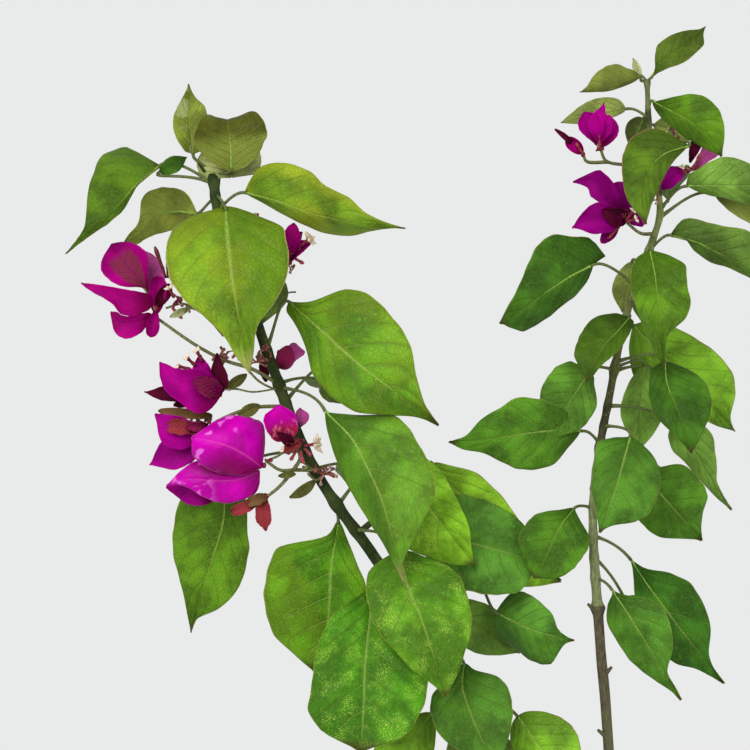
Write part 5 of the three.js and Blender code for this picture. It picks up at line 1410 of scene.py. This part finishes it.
def trunk():
    """The trunk, with its flare, root lobes and furrowed bark."""
    rng = random.Random(5)
    pile = Pile("trunk_bark")
    turn = turns(TRUNK_SIDES)
    low = COMPOST_TOP + GAP
    points, radii = [], []
    for share in np.linspace(0, 1, TRUNK_RINGS):
        centre, radius = trunk_at(low + (FORK_HEIGHT - GAP - low) * share)
        points.append(centre)
        radii.append(radius + (1 - share) ** 4 * ROOT_LOBE * np.cos(5 * turn + math.pi))
    radii = np.array(radii)
    phase = [rng.uniform(0, 6) for _ in range(3)]
    at = np.linspace(0, 1, TRUNK_RINGS)[:, None]
    winding = np.sin(11 * turn + 3 * np.sin(5 * at + phase[0]) + phase[1])
    furrow = winding * np.sin(7 * at + 2 * turn + phase[2])
    cracks = -np.clip(np.sin(17 * turn - 4 * at), 0.6, 1) * 0.5
    radii = radii * (1 + TRUNK_FURROWS * furrow + TRUNK_CRACKS * cracks)
    tube(pile, points, radii, TRUNK_SIDES, "grey_bark")
    pile.build(FINISHES, "trunk", maps=False)


def short_stubs(pile, node, finish):
    """The short stubs on one node's length of cane, each drawn in to its tip."""
    for start, end, radius in STUBS.get(node, []):
        first, last = seen(*start), seen(*end)
        path = smooth_path([first, (first + last) / 2, last], 3)
        tube(pile, path, np.linspace(radius, radius / 2, len(path)), 9, finish)


def bough(node, cane, high):
    """A bare cane from the fork to its first mass of leaves."""
    pile = Pile(node + "_bark")
    knots, rng = KNOTS.get(node, []), random.Random(node)
    low = FORK_HEIGHT - BOUGH_OVERLAP
    limb(pile, cane, low, high, BOUGH_SIDES, "grey_bark", knots, BOUGH_FURROWS, rng)
    short_stubs(pile, node, "grey_bark")
    pile.build(FINISHES, node, maps=False)


def lathe(pile, profile, segments, finish):
    """A closed shape turned round the upright axis. The profile starts and ends on the axis."""
    rings = np.array([[[radius * math.cos(a), radius * math.sin(a), height] for a in turns(segments)]
                      for radius, height in profile[1:-1]])
    points = np.concatenate([rings.reshape(-1, 3), [[0, 0, profile[0][1]], [0, 0, profile[-1][1]]]])
    faces = []
    last = len(rings) - 1
    for at in range(segments):
        beside = (at + 1) % segments
        for ring in range(last):
            low, high = ring * segments, (ring + 1) * segments
            faces.append([low + at, low + beside, high + beside, high + at])
        faces.append([len(points) - 2, beside, at])
        faces.append([len(points) - 1, last * segments + at, last * segments + beside])
    pile.add(points, faces, finish)


def pot_radius(height):
    """The outer radius of the pot's body at a height."""
    return POT_FOOT_RADIUS + (POT_TOP_RADIUS - POT_FOOT_RADIUS) * height / POT_HEIGHT


def corner_arc(centre, radius, start, end):
    """Points of a rounded edge in a turned profile, angles in degrees."""
    angles = np.radians(np.linspace(start, end, 5))
    return [(centre[0] + radius * math.cos(a), centre[1] + radius * math.sin(a)) for a in angles]


def pot():
    """The terracotta pot, with softened edges."""
    pile = Pile("pot_terracotta")
    rim_foot = POT_HEIGHT - RIM_HEIGHT
    outer = POT_TOP_RADIUS + RIM_PROUD
    inner = POT_TOP_RADIUS - POT_WALL
    ledge = pot_radius(rim_foot) + RIM_PROUD
    profile = [(0, 0), (POT_FOOT_RADIUS - 3, 0)]
    profile += corner_arc((POT_FOOT_RADIUS - 2, 2), 2, -90, -10)
    profile += [(pot_radius(height), height) for height in np.linspace(8, rim_foot - 2, 24)]
    profile += [(pot_radius(rim_foot) + 0.6, rim_foot - 0.3)]
    profile += corner_arc((ledge - 1.5, rim_foot + 1.5), 1.5, -80, 0)
    profile += [(ledge + (outer - ledge) * s, rim_foot + 1.5 + (RIM_HEIGHT - 4.5) * s)
                for s in (0.25, 0.5, 0.75, 0.95)]
    profile += corner_arc((outer - 3, POT_HEIGHT - 3), 3, 0, 90)
    profile += corner_arc((inner + 2.5, POT_HEIGHT - 2.5), 2.5, 90, 180)
    narrowing, inner_top = inner - pot_radius(POT_FLOOR) + POT_WALL, POT_HEIGHT - 6
    profile += [(inner - narrowing * s, inner_top - (inner_top - POT_FLOOR) * s)
                for s in (0.05, 0.15, 0.5, 1.0)]
    profile += [(0, POT_FLOOR)]
    lathe(pile, profile, POT_SIDES, "terracotta")
    pile.build(FINISHES, "pot", maps=False)


def compost_radius(height):
    """The compost's radius at a height, a gap inside the pot's wall."""
    share = (height - POT_FLOOR) / (POT_HEIGHT - POT_FLOOR)
    foot = pot_radius(POT_FLOOR) - POT_WALL
    return foot + (POT_TOP_RADIUS - POT_WALL - foot) * share - GAP


def compost_body(pile, outer):
    """The compost itself: a lumpy top on a plain body."""
    points = []
    for ring in range(1, COMPOST_RINGS + 1):
        radius = outer * (ring / COMPOST_RINGS) ** 0.85
        sunk = 1.0 if ring == COMPOST_RINGS else 0.0
        for a in turns(COMPOST_SIDES):
            x, y = radius * math.cos(a), radius * math.sin(a)
            lumps = noise.fractal(Vector((x, y, 3)) / 9, 0.8, 2.2, 4)
            points.append([x, y, COMPOST_TOP + 1.3 * lumps - sunk])
    low = POT_FLOOR + GAP
    narrowing = compost_radius(low) / outer
    points += [[x * narrowing, y * narrowing, low] for x, y, _ in points[-COMPOST_SIDES:]]
    count = len(points)
    points += [[0, 0, COMPOST_TOP + 0.5], [0, 0, low]]
    faces = []
    for at in range(COMPOST_SIDES):
        beside = (at + 1) % COMPOST_SIDES
        for ring in range(COMPOST_RINGS):
            inside, outside = ring * COMPOST_SIDES, (ring + 1) * COMPOST_SIDES
            faces.append([inside + at, outside + at, outside + beside, inside + beside])
        last = COMPOST_RINGS * COMPOST_SIDES
        faces.append([count, at, beside])
        faces.append([count + 1, last + beside, last + at])
    pile.add(points, faces, "compost")


def small_ball():
    """The points and faces of a ball with a radius of 1."""
    mesh = bpy.data.meshes.new("crumb")
    made = bmesh.new()
    bmesh.ops.create_icosphere(made, subdivisions=2, radius=1)
    made.to_mesh(mesh)
    made.free()
    points = np.array([vertex.co for vertex in mesh.vertices])
    faces = [list(polygon.vertices) for polygon in mesh.polygons]
    bpy.data.meshes.remove(mesh)
    return points, faces


def loose_bits(pile, reach, rng):
    """Crumbs, chips and pale grit strewn over the compost, each a ball with its own dents."""
    ball, ball_faces = small_ball()
    for number in range(CRUMBS):
        a = rng.uniform(0, 2 * math.pi)
        radius = math.sqrt(rng.uniform(0.03, 0.97)) * reach
        size = rng.uniform(0.7, 2.1) if number % 9 else rng.uniform(2.0, 3.6)
        shape = size * np.array([rng.uniform(0.7, 1.5), rng.uniform(0.6, 1.1), rng.uniform(0.4, 0.9)])
        seed = Vector((number, 0, 0))
        rough = np.array([1 + 0.3 * noise.noise(Vector(point) * 1.3 + seed) for point in ball])
        turn = rng.uniform(0, 6.28)
        x, y, z = (ball * rough[:, None] * shape).T
        turned = [x * math.cos(turn) - y * math.sin(turn), x * math.sin(turn) + y * math.cos(turn), z]
        place = np.array([radius * math.cos(a), radius * math.sin(a), COMPOST_TOP + 0.6])
        kind = rng.choices(["compost", "crumb", "chip", "grit"], [5, 4, 3, 1])[0]
        pile.add(np.stack(turned, 1) + place, ball_faces, kind, smooth=kind != "chip")


def compost():
    """The compost with the loose bits on it."""
    pile = Pile("compost_crumbs")
    outer = compost_radius(COMPOST_TOP)
    compost_body(pile, outer)
    loose_bits(pile, outer - 3, random.Random(11))
    pile.build(FINISHES, "compost", maps=False)


class Finish:
    """A material with a short way of adding nodes to it."""

    def __init__(self, name, **sockets):
        """Starts a material, with values for the shader's own sockets."""
        self.material = bpy.data.materials.new(name)
        self.material.use_nodes = True
        self.tree = self.material.node_tree
        self.shader = self.tree.nodes["Principled BSDF"]
        for socket, value in sockets.items():
            self.set(self.shader, socket.replace("_", " "), value)

    def set(self, node, socket, value):
        """Gives a node's socket a number, a colour or a link from another node."""
        target = node.inputs[socket]
        if isinstance(value, bpy.types.NodeSocket):
            self.tree.links.new(value, target)
        elif target.type == "RGBA" and len(value) == 3:
            target.default_value = (*value, 1)
        else:
            target.default_value = value

    def add(self, kind, settings=None, **inputs):
        """Adds a node with its settings and inputs."""
        node = self.tree.nodes.new(kind)
        for name, value in (settings or {}).items():
            setattr(node, name, value)
        for socket, value in inputs.items():
            self.set(node, socket.replace("_", " "), value)
        return node

    def math(self, operation, *values):
        """The result of a math node."""
        node = self.tree.nodes.new("ShaderNodeMath")
        node.operation = operation
        for at, value in enumerate(values):
            self.set(node, at, value)
        return node.outputs[0]

    def times(self, first, second):
        """The product of two values."""
        return self.math("MULTIPLY", first, second)

    def less(self, first, second):
        """The first value less the second."""
        return self.math("SUBTRACT", first, second)

    def mix(self, share, first, second):
        """A mix of two colours: the first where the share is 0, the second where it is 1."""
        node = self.add("ShaderNodeMix", {"data_type": "RGBA"})
        for at, value in ((0, share), (6, first), (7, second)):
            self.set(node, at, value)
        return node.outputs[2]

    def lay(self, colour, over, mask, strength):
        """A colour with another one laid over it where a mask says, as strongly as given."""
        return self.mix(self.times(mask, strength), colour, over)

    def fade(self, value, start, end, low=0.0, high=1.0):
        """A smooth step from low to high as a value goes from start to end."""
        node = self.add("ShaderNodeMapRange", {"interpolation_type": "SMOOTHSTEP"},
                        Value=value, From_Min=start, From_Max=end, To_Min=low, To_Max=high)
        return node.outputs[0]

    def place(self):
        """The place in the object's own space."""
        return self.add("ShaderNodeTexCoord").outputs["Object"]

    def stretched(self, vector, scales):
        """A vector with each of its parts scaled."""
        node = self.add("ShaderNodeVectorMath", {"operation": "MULTIPLY"})
        self.set(node, 0, vector)
        self.set(node, 1, scales)
        return node.outputs[0]

    def noise(self, scale, detail, roughness=0.5, vector=None):
        """A noise pattern, from 0 to 1."""
        node = self.add("ShaderNodeTexNoise", Vector=vector or self.place(), Scale=scale,
                        Detail=detail, Roughness=roughness)
        return node.outputs["Fac"]

    def dots(self, scale, start, end):
        """Round dots of 1 that fade to 0 between two distances from their middles."""
        node = self.add("ShaderNodeTexVoronoi", {"feature": "F1"}, Vector=self.place(), Scale=scale)
        return self.fade(node.outputs["Distance"], end, start)

    def colour(self, value):
        """Sets the surface's colour."""
        self.set(self.shader, "Base Color", value)

    def bump(self, height, distance, strength):
        """Raises the surface by a height pattern, up to a distance in metres."""
        node = self.add("ShaderNodeBump", Height=height, Distance=distance, Strength=strength)
        self.set(self.shader, "Normal", node.outputs[0])


def scaled(colour, share):
    """A colour made darker or lighter."""
    return tuple(channel * share for channel in colour)


def blended(first, second, share):
    """A colour between two others."""
    return tuple(a + (b - a) * share for a, b in zip(first, second))


def blade_finish(name, roughness, gloss, glow):
    """A blade's material, which lets a little light of the colour of its glow through."""
    return Finish(name, Roughness=roughness, Specular_IOR_Level=gloss, Subsurface_Weight=0.08,
                  Subsurface_Radius=glow, Subsurface_Scale=0.001)


def blade_map(finish):
    """The place on a blade's own map."""
    return finish.add("ShaderNodeUVMap", {"uv_map": "Blade"}).outputs[0]


def blade_coordinates(finish):
    """Sockets for the place across a blade, from -1 to 1, how far out that is, and the share along."""
    parts = finish.add("ShaderNodeSeparateXYZ", Vector=blade_map(finish))
    edge = finish.math("MULTIPLY_ADD", parts.outputs[0], 2.0, -1.0)
    return edge, finish.math("ABSOLUTE", edge), parts.outputs[1]


def vein_masks(finish, edge, out, along):
    """How much of a side vein and of the midrib lies at a place, and how far off a side vein it is.

    The first two go from 0 to 1, and the last from 0 to half the way between two veins.
    """
    rise = finish.times(finish.math("POWER", out, VEIN_BEND), VEIN_RISE)
    rise = finish.times(rise, finish.math("MULTIPLY_ADD", along, -0.3, 1.0))
    phase = finish.times(finish.less(along, rise), VEINS)
    phase = finish.math("MULTIPLY_ADD", finish.math("GREATER_THAN", edge, 0.0), 0.5, phase)
    part = finish.less(phase, finish.math("FLOOR", phase))
    near = finish.less(0.5, finish.math("ABSOLUTE", finish.less(part, 0.5)))
    thin = finish.math("MULTIPLY_ADD", out, -0.035, 0.055)
    side = finish.math("MAXIMUM", finish.less(1.0, finish.math("DIVIDE", near, thin)), 0.0)
    side = finish.times(side, finish.fade(out, 0.97, 0.75))
    side = finish.times(side, finish.fade(along, 0.97, 0.8))
    wide = finish.math("MULTIPLY_ADD", along, -0.035, 0.06)
    middle = finish.math("MAXIMUM", finish.less(1.0, finish.math("DIVIDE", out, wide)), 0.0)
    return side, finish.times(middle, finish.fade(along, 1.0, 0.85)), near


def net_mask(finish, size):
    """The fine net between the veins, from 0 to 1."""
    wide = finish.stretched(blade_map(finish), (size * 0.62, size, 1.0))
    cells = finish.add("ShaderNodeTexVoronoi", {"feature": "DISTANCE_TO_EDGE"}, Vector=wide, Scale=1.0)
    return finish.fade(cells.outputs["Distance"], 0.11, 0.0)


def leaf_markings(finish, colour, tint, edge, out, along):
    """What only a leaf's upper side has: painted shade at its foot, and what sets its tint apart."""
    body = LEAF_TINTS[tint]
    # Painted shade, darker towards the blade's foot.
    colour = finish.mix(finish.fade(along, 0.3, 0.0, 0.0, 0.75), colour, scaled(body, 0.62))
    if tint in YELLOWED:
        blots = finish.fade(finish.noise(48.0, 2.0), 0.42, 0.6)
        margin = finish.fade(out, 0.45, 1.0)
        where = finish.math("MINIMUM", finish.math("MULTIPLY_ADD", margin, 0.8, blots), 1.0)
        colour = finish.lay(colour, YELLOW_COLOUR, where, YELLOWED[tint])
    # Painted shade: one half of the blade is darker, standing for the half its fold turns from the light.
    if tint in SHADED_SIDES:
        hand = math.copysign(1, SHADED_SIDES[tint])
        painted_side_shade = finish.fade(edge, -0.1 * hand, 0.5 * hand, 0.0, abs(SHADED_SIDES[tint]))
        colour = finish.mix(painted_side_shade, colour, (body[0] * 0.45, body[1] * 0.6, body[2] * 0.2))
    if tint in SPECKLED:
        sparse = finish.fade(finish.noise(120.0, 2.0), 0.46, 0.62)
        specks = finish.times(finish.dots(1500.0, 0.2, 0.42), sparse)
        colour = finish.lay(colour, SPECK_COLOUR, specks, 0.75)
    # The cupped leaf whose near-black tint is painted shade turns paler towards its foot.
    if tint == "dusk":
        ragged_along = finish.math("MULTIPLY_ADD", finish.noise(75.0, 2.0), 0.5, along)
        colour = finish.lay(colour, PALE_FOOT_COLOUR, finish.fade(ragged_along, 0.85, 0.55), 0.8)
    if tint == "young":
        blots = finish.fade(finish.noise(160.0, 2.0), 0.48, 0.6)
        on_left = finish.times(blots, finish.fade(edge, -0.15, 0.15))
        colour = finish.lay(colour, YOUNG_BLOT_COLOUR, on_left, 0.4)
    return colour


def leaf_finish(name, tint, under=False):
    """A leaf's upper or lower side: mottled green, pale veins with painted shade in their creases, a thin
    rim and a dark or pale tip.
    """
    body = LEAF_TINTS[tint]
    if under:
        body = blended(body, UNDERSIDE_COLOUR, 0.4)
    finish = blade_finish(name, 0.6 if under else 0.45, 0.1, (0.3, 1.0, 0.1))
    edge, out, along = blade_coordinates(finish)
    side, middle, off_vein = vein_masks(finish, edge, out, along)
    net = net_mask(finish, 34.0)
    patches = finish.fade(finish.noise(60.0, 3.0), 0.36, 0.66)
    colour = finish.mix(patches, scaled(body, 0.52), scaled(body, 1.42))
    flecks = finish.fade(finish.noise(620.0, 4.0, 0.65), 0.4, 0.6)
    colour = finish.lay(colour, scaled(body, 1.5), flecks, 0.2)
    # Painted shade in the creases: darker close to each side vein.
    creases = finish.fade(off_vein, 0.0, 0.22, CREASE_SHADE.get(tint, USUAL_CREASE_SHADE), 0.0)
    colour = finish.mix(creases, colour, (body[0] * 0.6, body[1] * 0.52, body[2] * 0.5))
    colour = finish.lay(colour, blended(scaled(body, 1.5), VEIN_COLOUR, 0.12), net, 0.3)
    if not under:
        colour = leaf_markings(finish, colour, tint, edge, out, along)
    veined = VEINED.get(tint, USUAL_VEINS)
    colour = finish.lay(colour, blended(body, VEIN_COLOUR, 0.6), side, veined)
    colour = finish.lay(colour, blended(body, VEIN_COLOUR, 0.7), middle, 0.08 + 1.3 * veined)
    rim = RIMS.get(tint, blended(body, RIM_COLOUR, 0.45))
    colour = finish.mix(finish.fade(out, 0.965, 1.0, 0.0, 0.7), colour, rim)
    if tint in PALE_TIPS:
        colour = finish.mix(finish.fade(along, 0.84, 0.97, 0.0, 0.7), colour, PALE_TIP_COLOUR)
    else:
        colour = finish.mix(finish.fade(along, 0.91, 0.985, 0.0, 0.75), colour, TIP_COLOUR)
    finish.colour(colour)
    grain = finish.times(finish.noise(1400.0, 2.0), 0.3)
    height = finish.math("MULTIPLY_ADD", net, -0.5, grain)
    height = finish.math("MULTIPLY_ADD", side, 0.9 if under else -1.0, height)
    height = finish.math("MULTIPLY_ADD", middle, 0.4 if under else -1.2, height)
    finish.bump(height, 0.0006, 0.8)
    return finish.material


def bract_painted_shade(finish, colour, tint, edge, along):
    """A bract's colour darkened to wine red by painted shade at its foot, and on a glossy one by painted
    shade along one side too.
    """
    body = BRACT_TINTS[tint]
    # The dark wine red of the painted shade.
    wine = (body[0] * 0.42, body[1] * 0.5, body[2] * 0.22)
    if tint not in GLOSSY:
        return finish.mix(finish.fade(along, 0.4, 0.04, 0.0, 0.85), colour, wine)
    # Painted shade on a glossy bract: darker along the side where it lies against the other glossy bract.
    low = finish.fade(edge, -0.35, 0.55) if tint == "glossy" else finish.fade(edge, 0.1, -0.6)
    colour = finish.lay(colour, wine, low, finish.fade(along, 0.9, 0.4, 0.0, 0.9))
    return finish.mix(finish.fade(along, 0.3, 0.0, 0.0, 0.7), colour, wine)


def bract_finish(name, tint):
    """A papery or glossy bract: bright, with painted shade in wine red at its foot and painted highlights
    on a glossy one, with darker veins and a fine net.
    """
    body = BRACT_TINTS[tint]
    glossy = tint in GLOSSY
    finish = blade_finish(name, 0.3 if glossy else 0.5, 0.05 if glossy else 0.03, (1.0, 0.05, 0.6))
    edge, out, along = blade_coordinates(finish)
    side, middle, _ = vein_masks(finish, edge, out, along)
    net = net_mask(finish, 26.0)
    patches = finish.fade(finish.noise(70.0, 2.0), 0.35, 0.65)
    colour = finish.mix(patches, scaled(body, 0.76), scaled(body, 1.18))
    colour = bract_painted_shade(finish, colour, tint, edge, along)
    if tint == "hearted":
        heart = finish.math("MINIMUM", finish.fade(along, 0.82, 0.66), finish.fade(out, 0.62, 0.45))
        colour = finish.lay(colour, HEART_COLOUR, heart, 0.85)
    if tint == "reddening":
        colour = finish.mix(finish.fade(along, 0.66, 0.36), colour, REDDENED_COLOUR)
        spots = finish.fade(finish.noise(420.0, 2.0), 0.52, 0.62)
        band = finish.times(finish.fade(along, 0.1, 0.3), finish.fade(along, 0.7, 0.5))
        colour = finish.lay(colour, RED_SPOT_COLOUR, spots, finish.times(band, 0.6))
    strength = 0.7 if tint in WELL_VEINED else 0.22
    dark = scaled(body, 0.4)
    colour = finish.lay(colour, dark, net, strength * 0.4)
    colour = finish.lay(colour, dark, side, strength)
    if glossy:
        colour = finish.lay(colour, GLOSSY_MIDRIB_COLOUR, middle, 0.35)
        # Painted highlight along the glossy bract's rim.
        colour = finish.mix(finish.fade(out, 0.965, 1.0, 0.0, 0.55), colour, GLOSSY_RIM_HIGHLIGHT_COLOUR)
        # Painted highlights: small pale glints on the outer half of the bract.
        painted_highlights = finish.fade(finish.noise(150.0, 1.0), 0.57, 0.65)
        painted_highlights = finish.times(painted_highlights, finish.fade(along, 0.45, 0.65))
        colour = finish.lay(colour, PAINTED_HIGHLIGHT_COLOUR, painted_highlights, 0.6)
    else:
        colour = finish.lay(colour, dark, middle, strength)
    finish.colour(colour)
    height = finish.math("MULTIPLY_ADD", side, 1.0, finish.times(net, 0.4))
    finish.bump(height, 0.0002, 0.3 if glossy else 0.5)
    return finish.material


def bark_finish(name, body):
    """Bark or green stem: streaks along the limb, small corky dots and fine cracks."""
    finish = Finish(name, Roughness=0.75, Specular_IOR_Level=0.1)
    streaks = finish.noise(1500.0, 4.0, 0.6, finish.stretched(finish.place(), (1.0, 1.0, 0.16)))
    dark, light = scaled(body, 0.5), scaled(body, 1.5)
    high = finish.add("ShaderNodeSeparateXYZ", Vector=finish.place()).outputs[2]
    for height, other in BANDS.get(name, ()):
        above = finish.fade(high, height - 0.015, height + 0.015)
        dark = finish.mix(above, dark, scaled(other, 0.5))
        light = finish.mix(above, light, scaled(other, 1.5))
    colour = finish.mix(finish.fade(streaks, 0.3, 0.7), dark, light)
    greened = finish.fade(finish.noise(70.0, 2.0), 0.42, 0.62, 0.0, 0.6)
    colour = finish.mix(greened, colour, blended(body, GREENED_BARK_COLOUR, 0.4))
    dots = finish.dots(420.0, 0.1, 0.2)
    colour = finish.lay(colour, blended(body, CORK_COLOUR, min(1, body[0] * 10)), dots, 0.4)
    finish.colour(colour)
    finish.bump(finish.math("MULTIPLY_ADD", dots, 0.5, streaks), 0.0005, 0.8)
    return finish.material


def plain_finish(name, body, rough, scale, spread, distance):
    """A finish for small things: a body colour that varies a little, over a fine grain."""
    finish = Finish(name, Roughness=rough, Specular_IOR_Level=0.15)
    grain = finish.noise(scale, 3.0)
    shades = scaled(body, 1 - spread), scaled(body, 1 + spread)
    finish.colour(finish.mix(finish.fade(grain, 0.3, 0.7), *shades))
    finish.bump(grain, distance, 0.7)
    return finish.material


def terracotta_finish():
    """Unglazed clay: turning lines, a fine grain, and a pale salt bloom low down and on the rim."""
    finish = Finish("terracotta", Roughness=0.86, Specular_IOR_Level=0.25)
    high = finish.add("ShaderNodeSeparateXYZ", Vector=finish.place()).outputs[2]
    slow = finish.noise(18.0, 4.0, 0.6)
    fine = finish.noise(1400.0, 3.0)
    shades = scaled(TERRACOTTA_COLOUR, 0.82), scaled(TERRACOTTA_COLOUR, 1.15)
    colour = finish.mix(finish.fade(slow, 0.3, 0.7), *shades)
    colour = finish.mix(finish.fade(fine, 0.55, 0.75, 0.0, 0.35), colour, CLAY_GRAIN_COLOUR)
    bloom = finish.fade(finish.noise(34.0, 5.0, 0.65), 0.5, 0.68)
    low = finish.fade(high, 0.07, 0.012)
    rim = finish.times(finish.fade(high, 0.121, 0.15), 0.7)
    salt = finish.times(bloom, finish.math("MAXIMUM", low, rim))
    colour = finish.lay(colour, SALT_COLOUR, salt, 0.6)
    finish.colour(colour)
    lines = finish.math("SINE", finish.math("MULTIPLY_ADD", slow, 6.0, finish.times(high, 3600.0)))
    finish.bump(finish.math("MULTIPLY_ADD", lines, 0.25, fine), 0.0006, 0.5)
    return finish.material


def make_finishes():
    """All materials, by their names in the tables. A leaf's lower side adds _under to its tint."""
    made = {"terracotta": terracotta_finish()}
    for tint in LEAF_TINTS:
        made[tint] = leaf_finish("leaf_" + tint, tint)
        made[tint + "_under"] = leaf_finish(f"leaf_{tint}_under", tint, True)
    for tint in BRACT_TINTS:
        made[tint] = bract_finish("bract_" + tint, tint)
    for name, colour in BARK_TINTS.items():
        made[name] = bark_finish(name, colour)
    for name, colour in BIT_TINTS.items():
        lighter = blended(colour, LIGHT_BIT_COLOUR, 0.4)
        made[name] = plain_finish(name, colour, 0.65, 900.0, 0.5, 0.0003)
        made[name + "_light"] = plain_finish(name + "_light", lighter, 0.6, 900.0, 0.4, 0.0003)
    for name, values in PLAIN_FINISHES.items():
        made[name] = plain_finish(name, *values)
    return made


def area_light(name, place, target, size, power):
    """A square lamp that shines from a place to a target."""
    light = bpy.data.lights.new(name, "AREA")
    light.size = size
    light.energy = power
    holder = bpy.data.objects.new(name, light)
    bpy.context.scene.collection.objects.link(holder)
    holder.location = place
    holder.rotation_euler = (Vector(target) - Vector(place)).to_track_quat("-Z", "Y").to_euler()


def pale_floor():
    """A round pale floor with a faint grain."""
    mesh = bpy.data.meshes.new("floor")
    ring = [(FLOOR_RADIUS * math.cos(a), FLOOR_RADIUS * math.sin(a), 0) for a in turns(FLOOR_SIDES)]
    mesh.from_pydata(ring, [], [list(range(FLOOR_SIDES))])
    floor = bpy.data.objects.new("floor", mesh)
    bpy.context.scene.collection.objects.link(floor)
    finish = Finish("pale_floor", Roughness=0.7)
    grain = finish.noise(220.0, 4.0)
    finish.colour(finish.mix(finish.fade(grain, 0.3, 0.7), (0.76, 0.76, 0.75), (0.8, 0.8, 0.79)))
    mesh.materials.append(finish.material)


def front_camera():
    """The camera at the photograph's angle."""
    camera = bpy.data.cameras.new("camera")
    camera.sensor_width = SENSOR_WIDTH
    camera.lens = SENSOR_WIDTH * EYE_DISTANCE / FRAME_WIDTH
    holder = bpy.data.objects.new("camera", camera)
    bpy.context.scene.collection.objects.link(holder)
    holder.location = EYE * MM
    holder.rotation_euler = (math.pi / 2, 0, 0)
    bpy.context.scene.camera = holder


def studio():
    """A pale floor, soft light from above the camera, and the camera."""
    world = bpy.data.worlds.new("studio")
    bpy.context.scene.world = world
    world.use_nodes = True
    world.node_tree.nodes["Background"].inputs[0].default_value = WORLD_COLOUR
    world.node_tree.nodes["Background"].inputs[1].default_value = WORLD_STRENGTH
    area_light("key", (-0.8, -1.6, 1.3), (-0.08, 0, 0.45), 1.2, 34)
    area_light("fill", (0.9, -1.3, 0.9), (-0.05, 0, 0.4), 1.4, 10)
    pale_floor()
    front_camera()
    bpy.context.scene.view_settings.view_transform = "Standard"


FINISHES = make_finishes()
studio()
pot()
compost()
trunk()
bough("left_bough", LEFT_CANE, LEFT_CUTS[0])
bough("right_bough", RIGHT_CANE, RIGHT_CUTS[0])
foliage("left_foliage_low", LEFT_CANE, LEFT_CUTS[0:2], LEFT_FOOT_LEAVES, LEFT_LOOK,
        LOW_SIDE_SHOOT, LOW_SIDE_LEAVES)
foliage("left_foliage_middle", LEFT_CANE, LEFT_CUTS[1:3], LEFT_MIDDLE_LEAVES, LEFT_LOOK,
        HIGH_SIDE_SHOOT, HIGH_SIDE_LEAVES)
foliage("left_foliage_top", LEFT_CANE, LEFT_CUTS[2:4], LEFT_TOP_LEAVES, LEFT_LOOK)
foliage("right_foliage_low", RIGHT_CANE, RIGHT_CUTS[0:2], RIGHT_FOOT_LEAVES, RIGHT_LOOK)
foliage("right_foliage_middle", RIGHT_CANE, RIGHT_CUTS[1:3], RIGHT_MIDDLE_LEAVES, RIGHT_LOOK)
foliage("right_foliage_top", RIGHT_CANE, RIGHT_CUTS[2:4], RIGHT_TOP_LEAVES, RIGHT_LOOK)
for twig in FLOWERING_TWIGS:
    flowering_twig(twig)
draw = seeded_numbers(SEED)
for number in range(LOW_SHOOTS):
    low_shoot(number, draw)
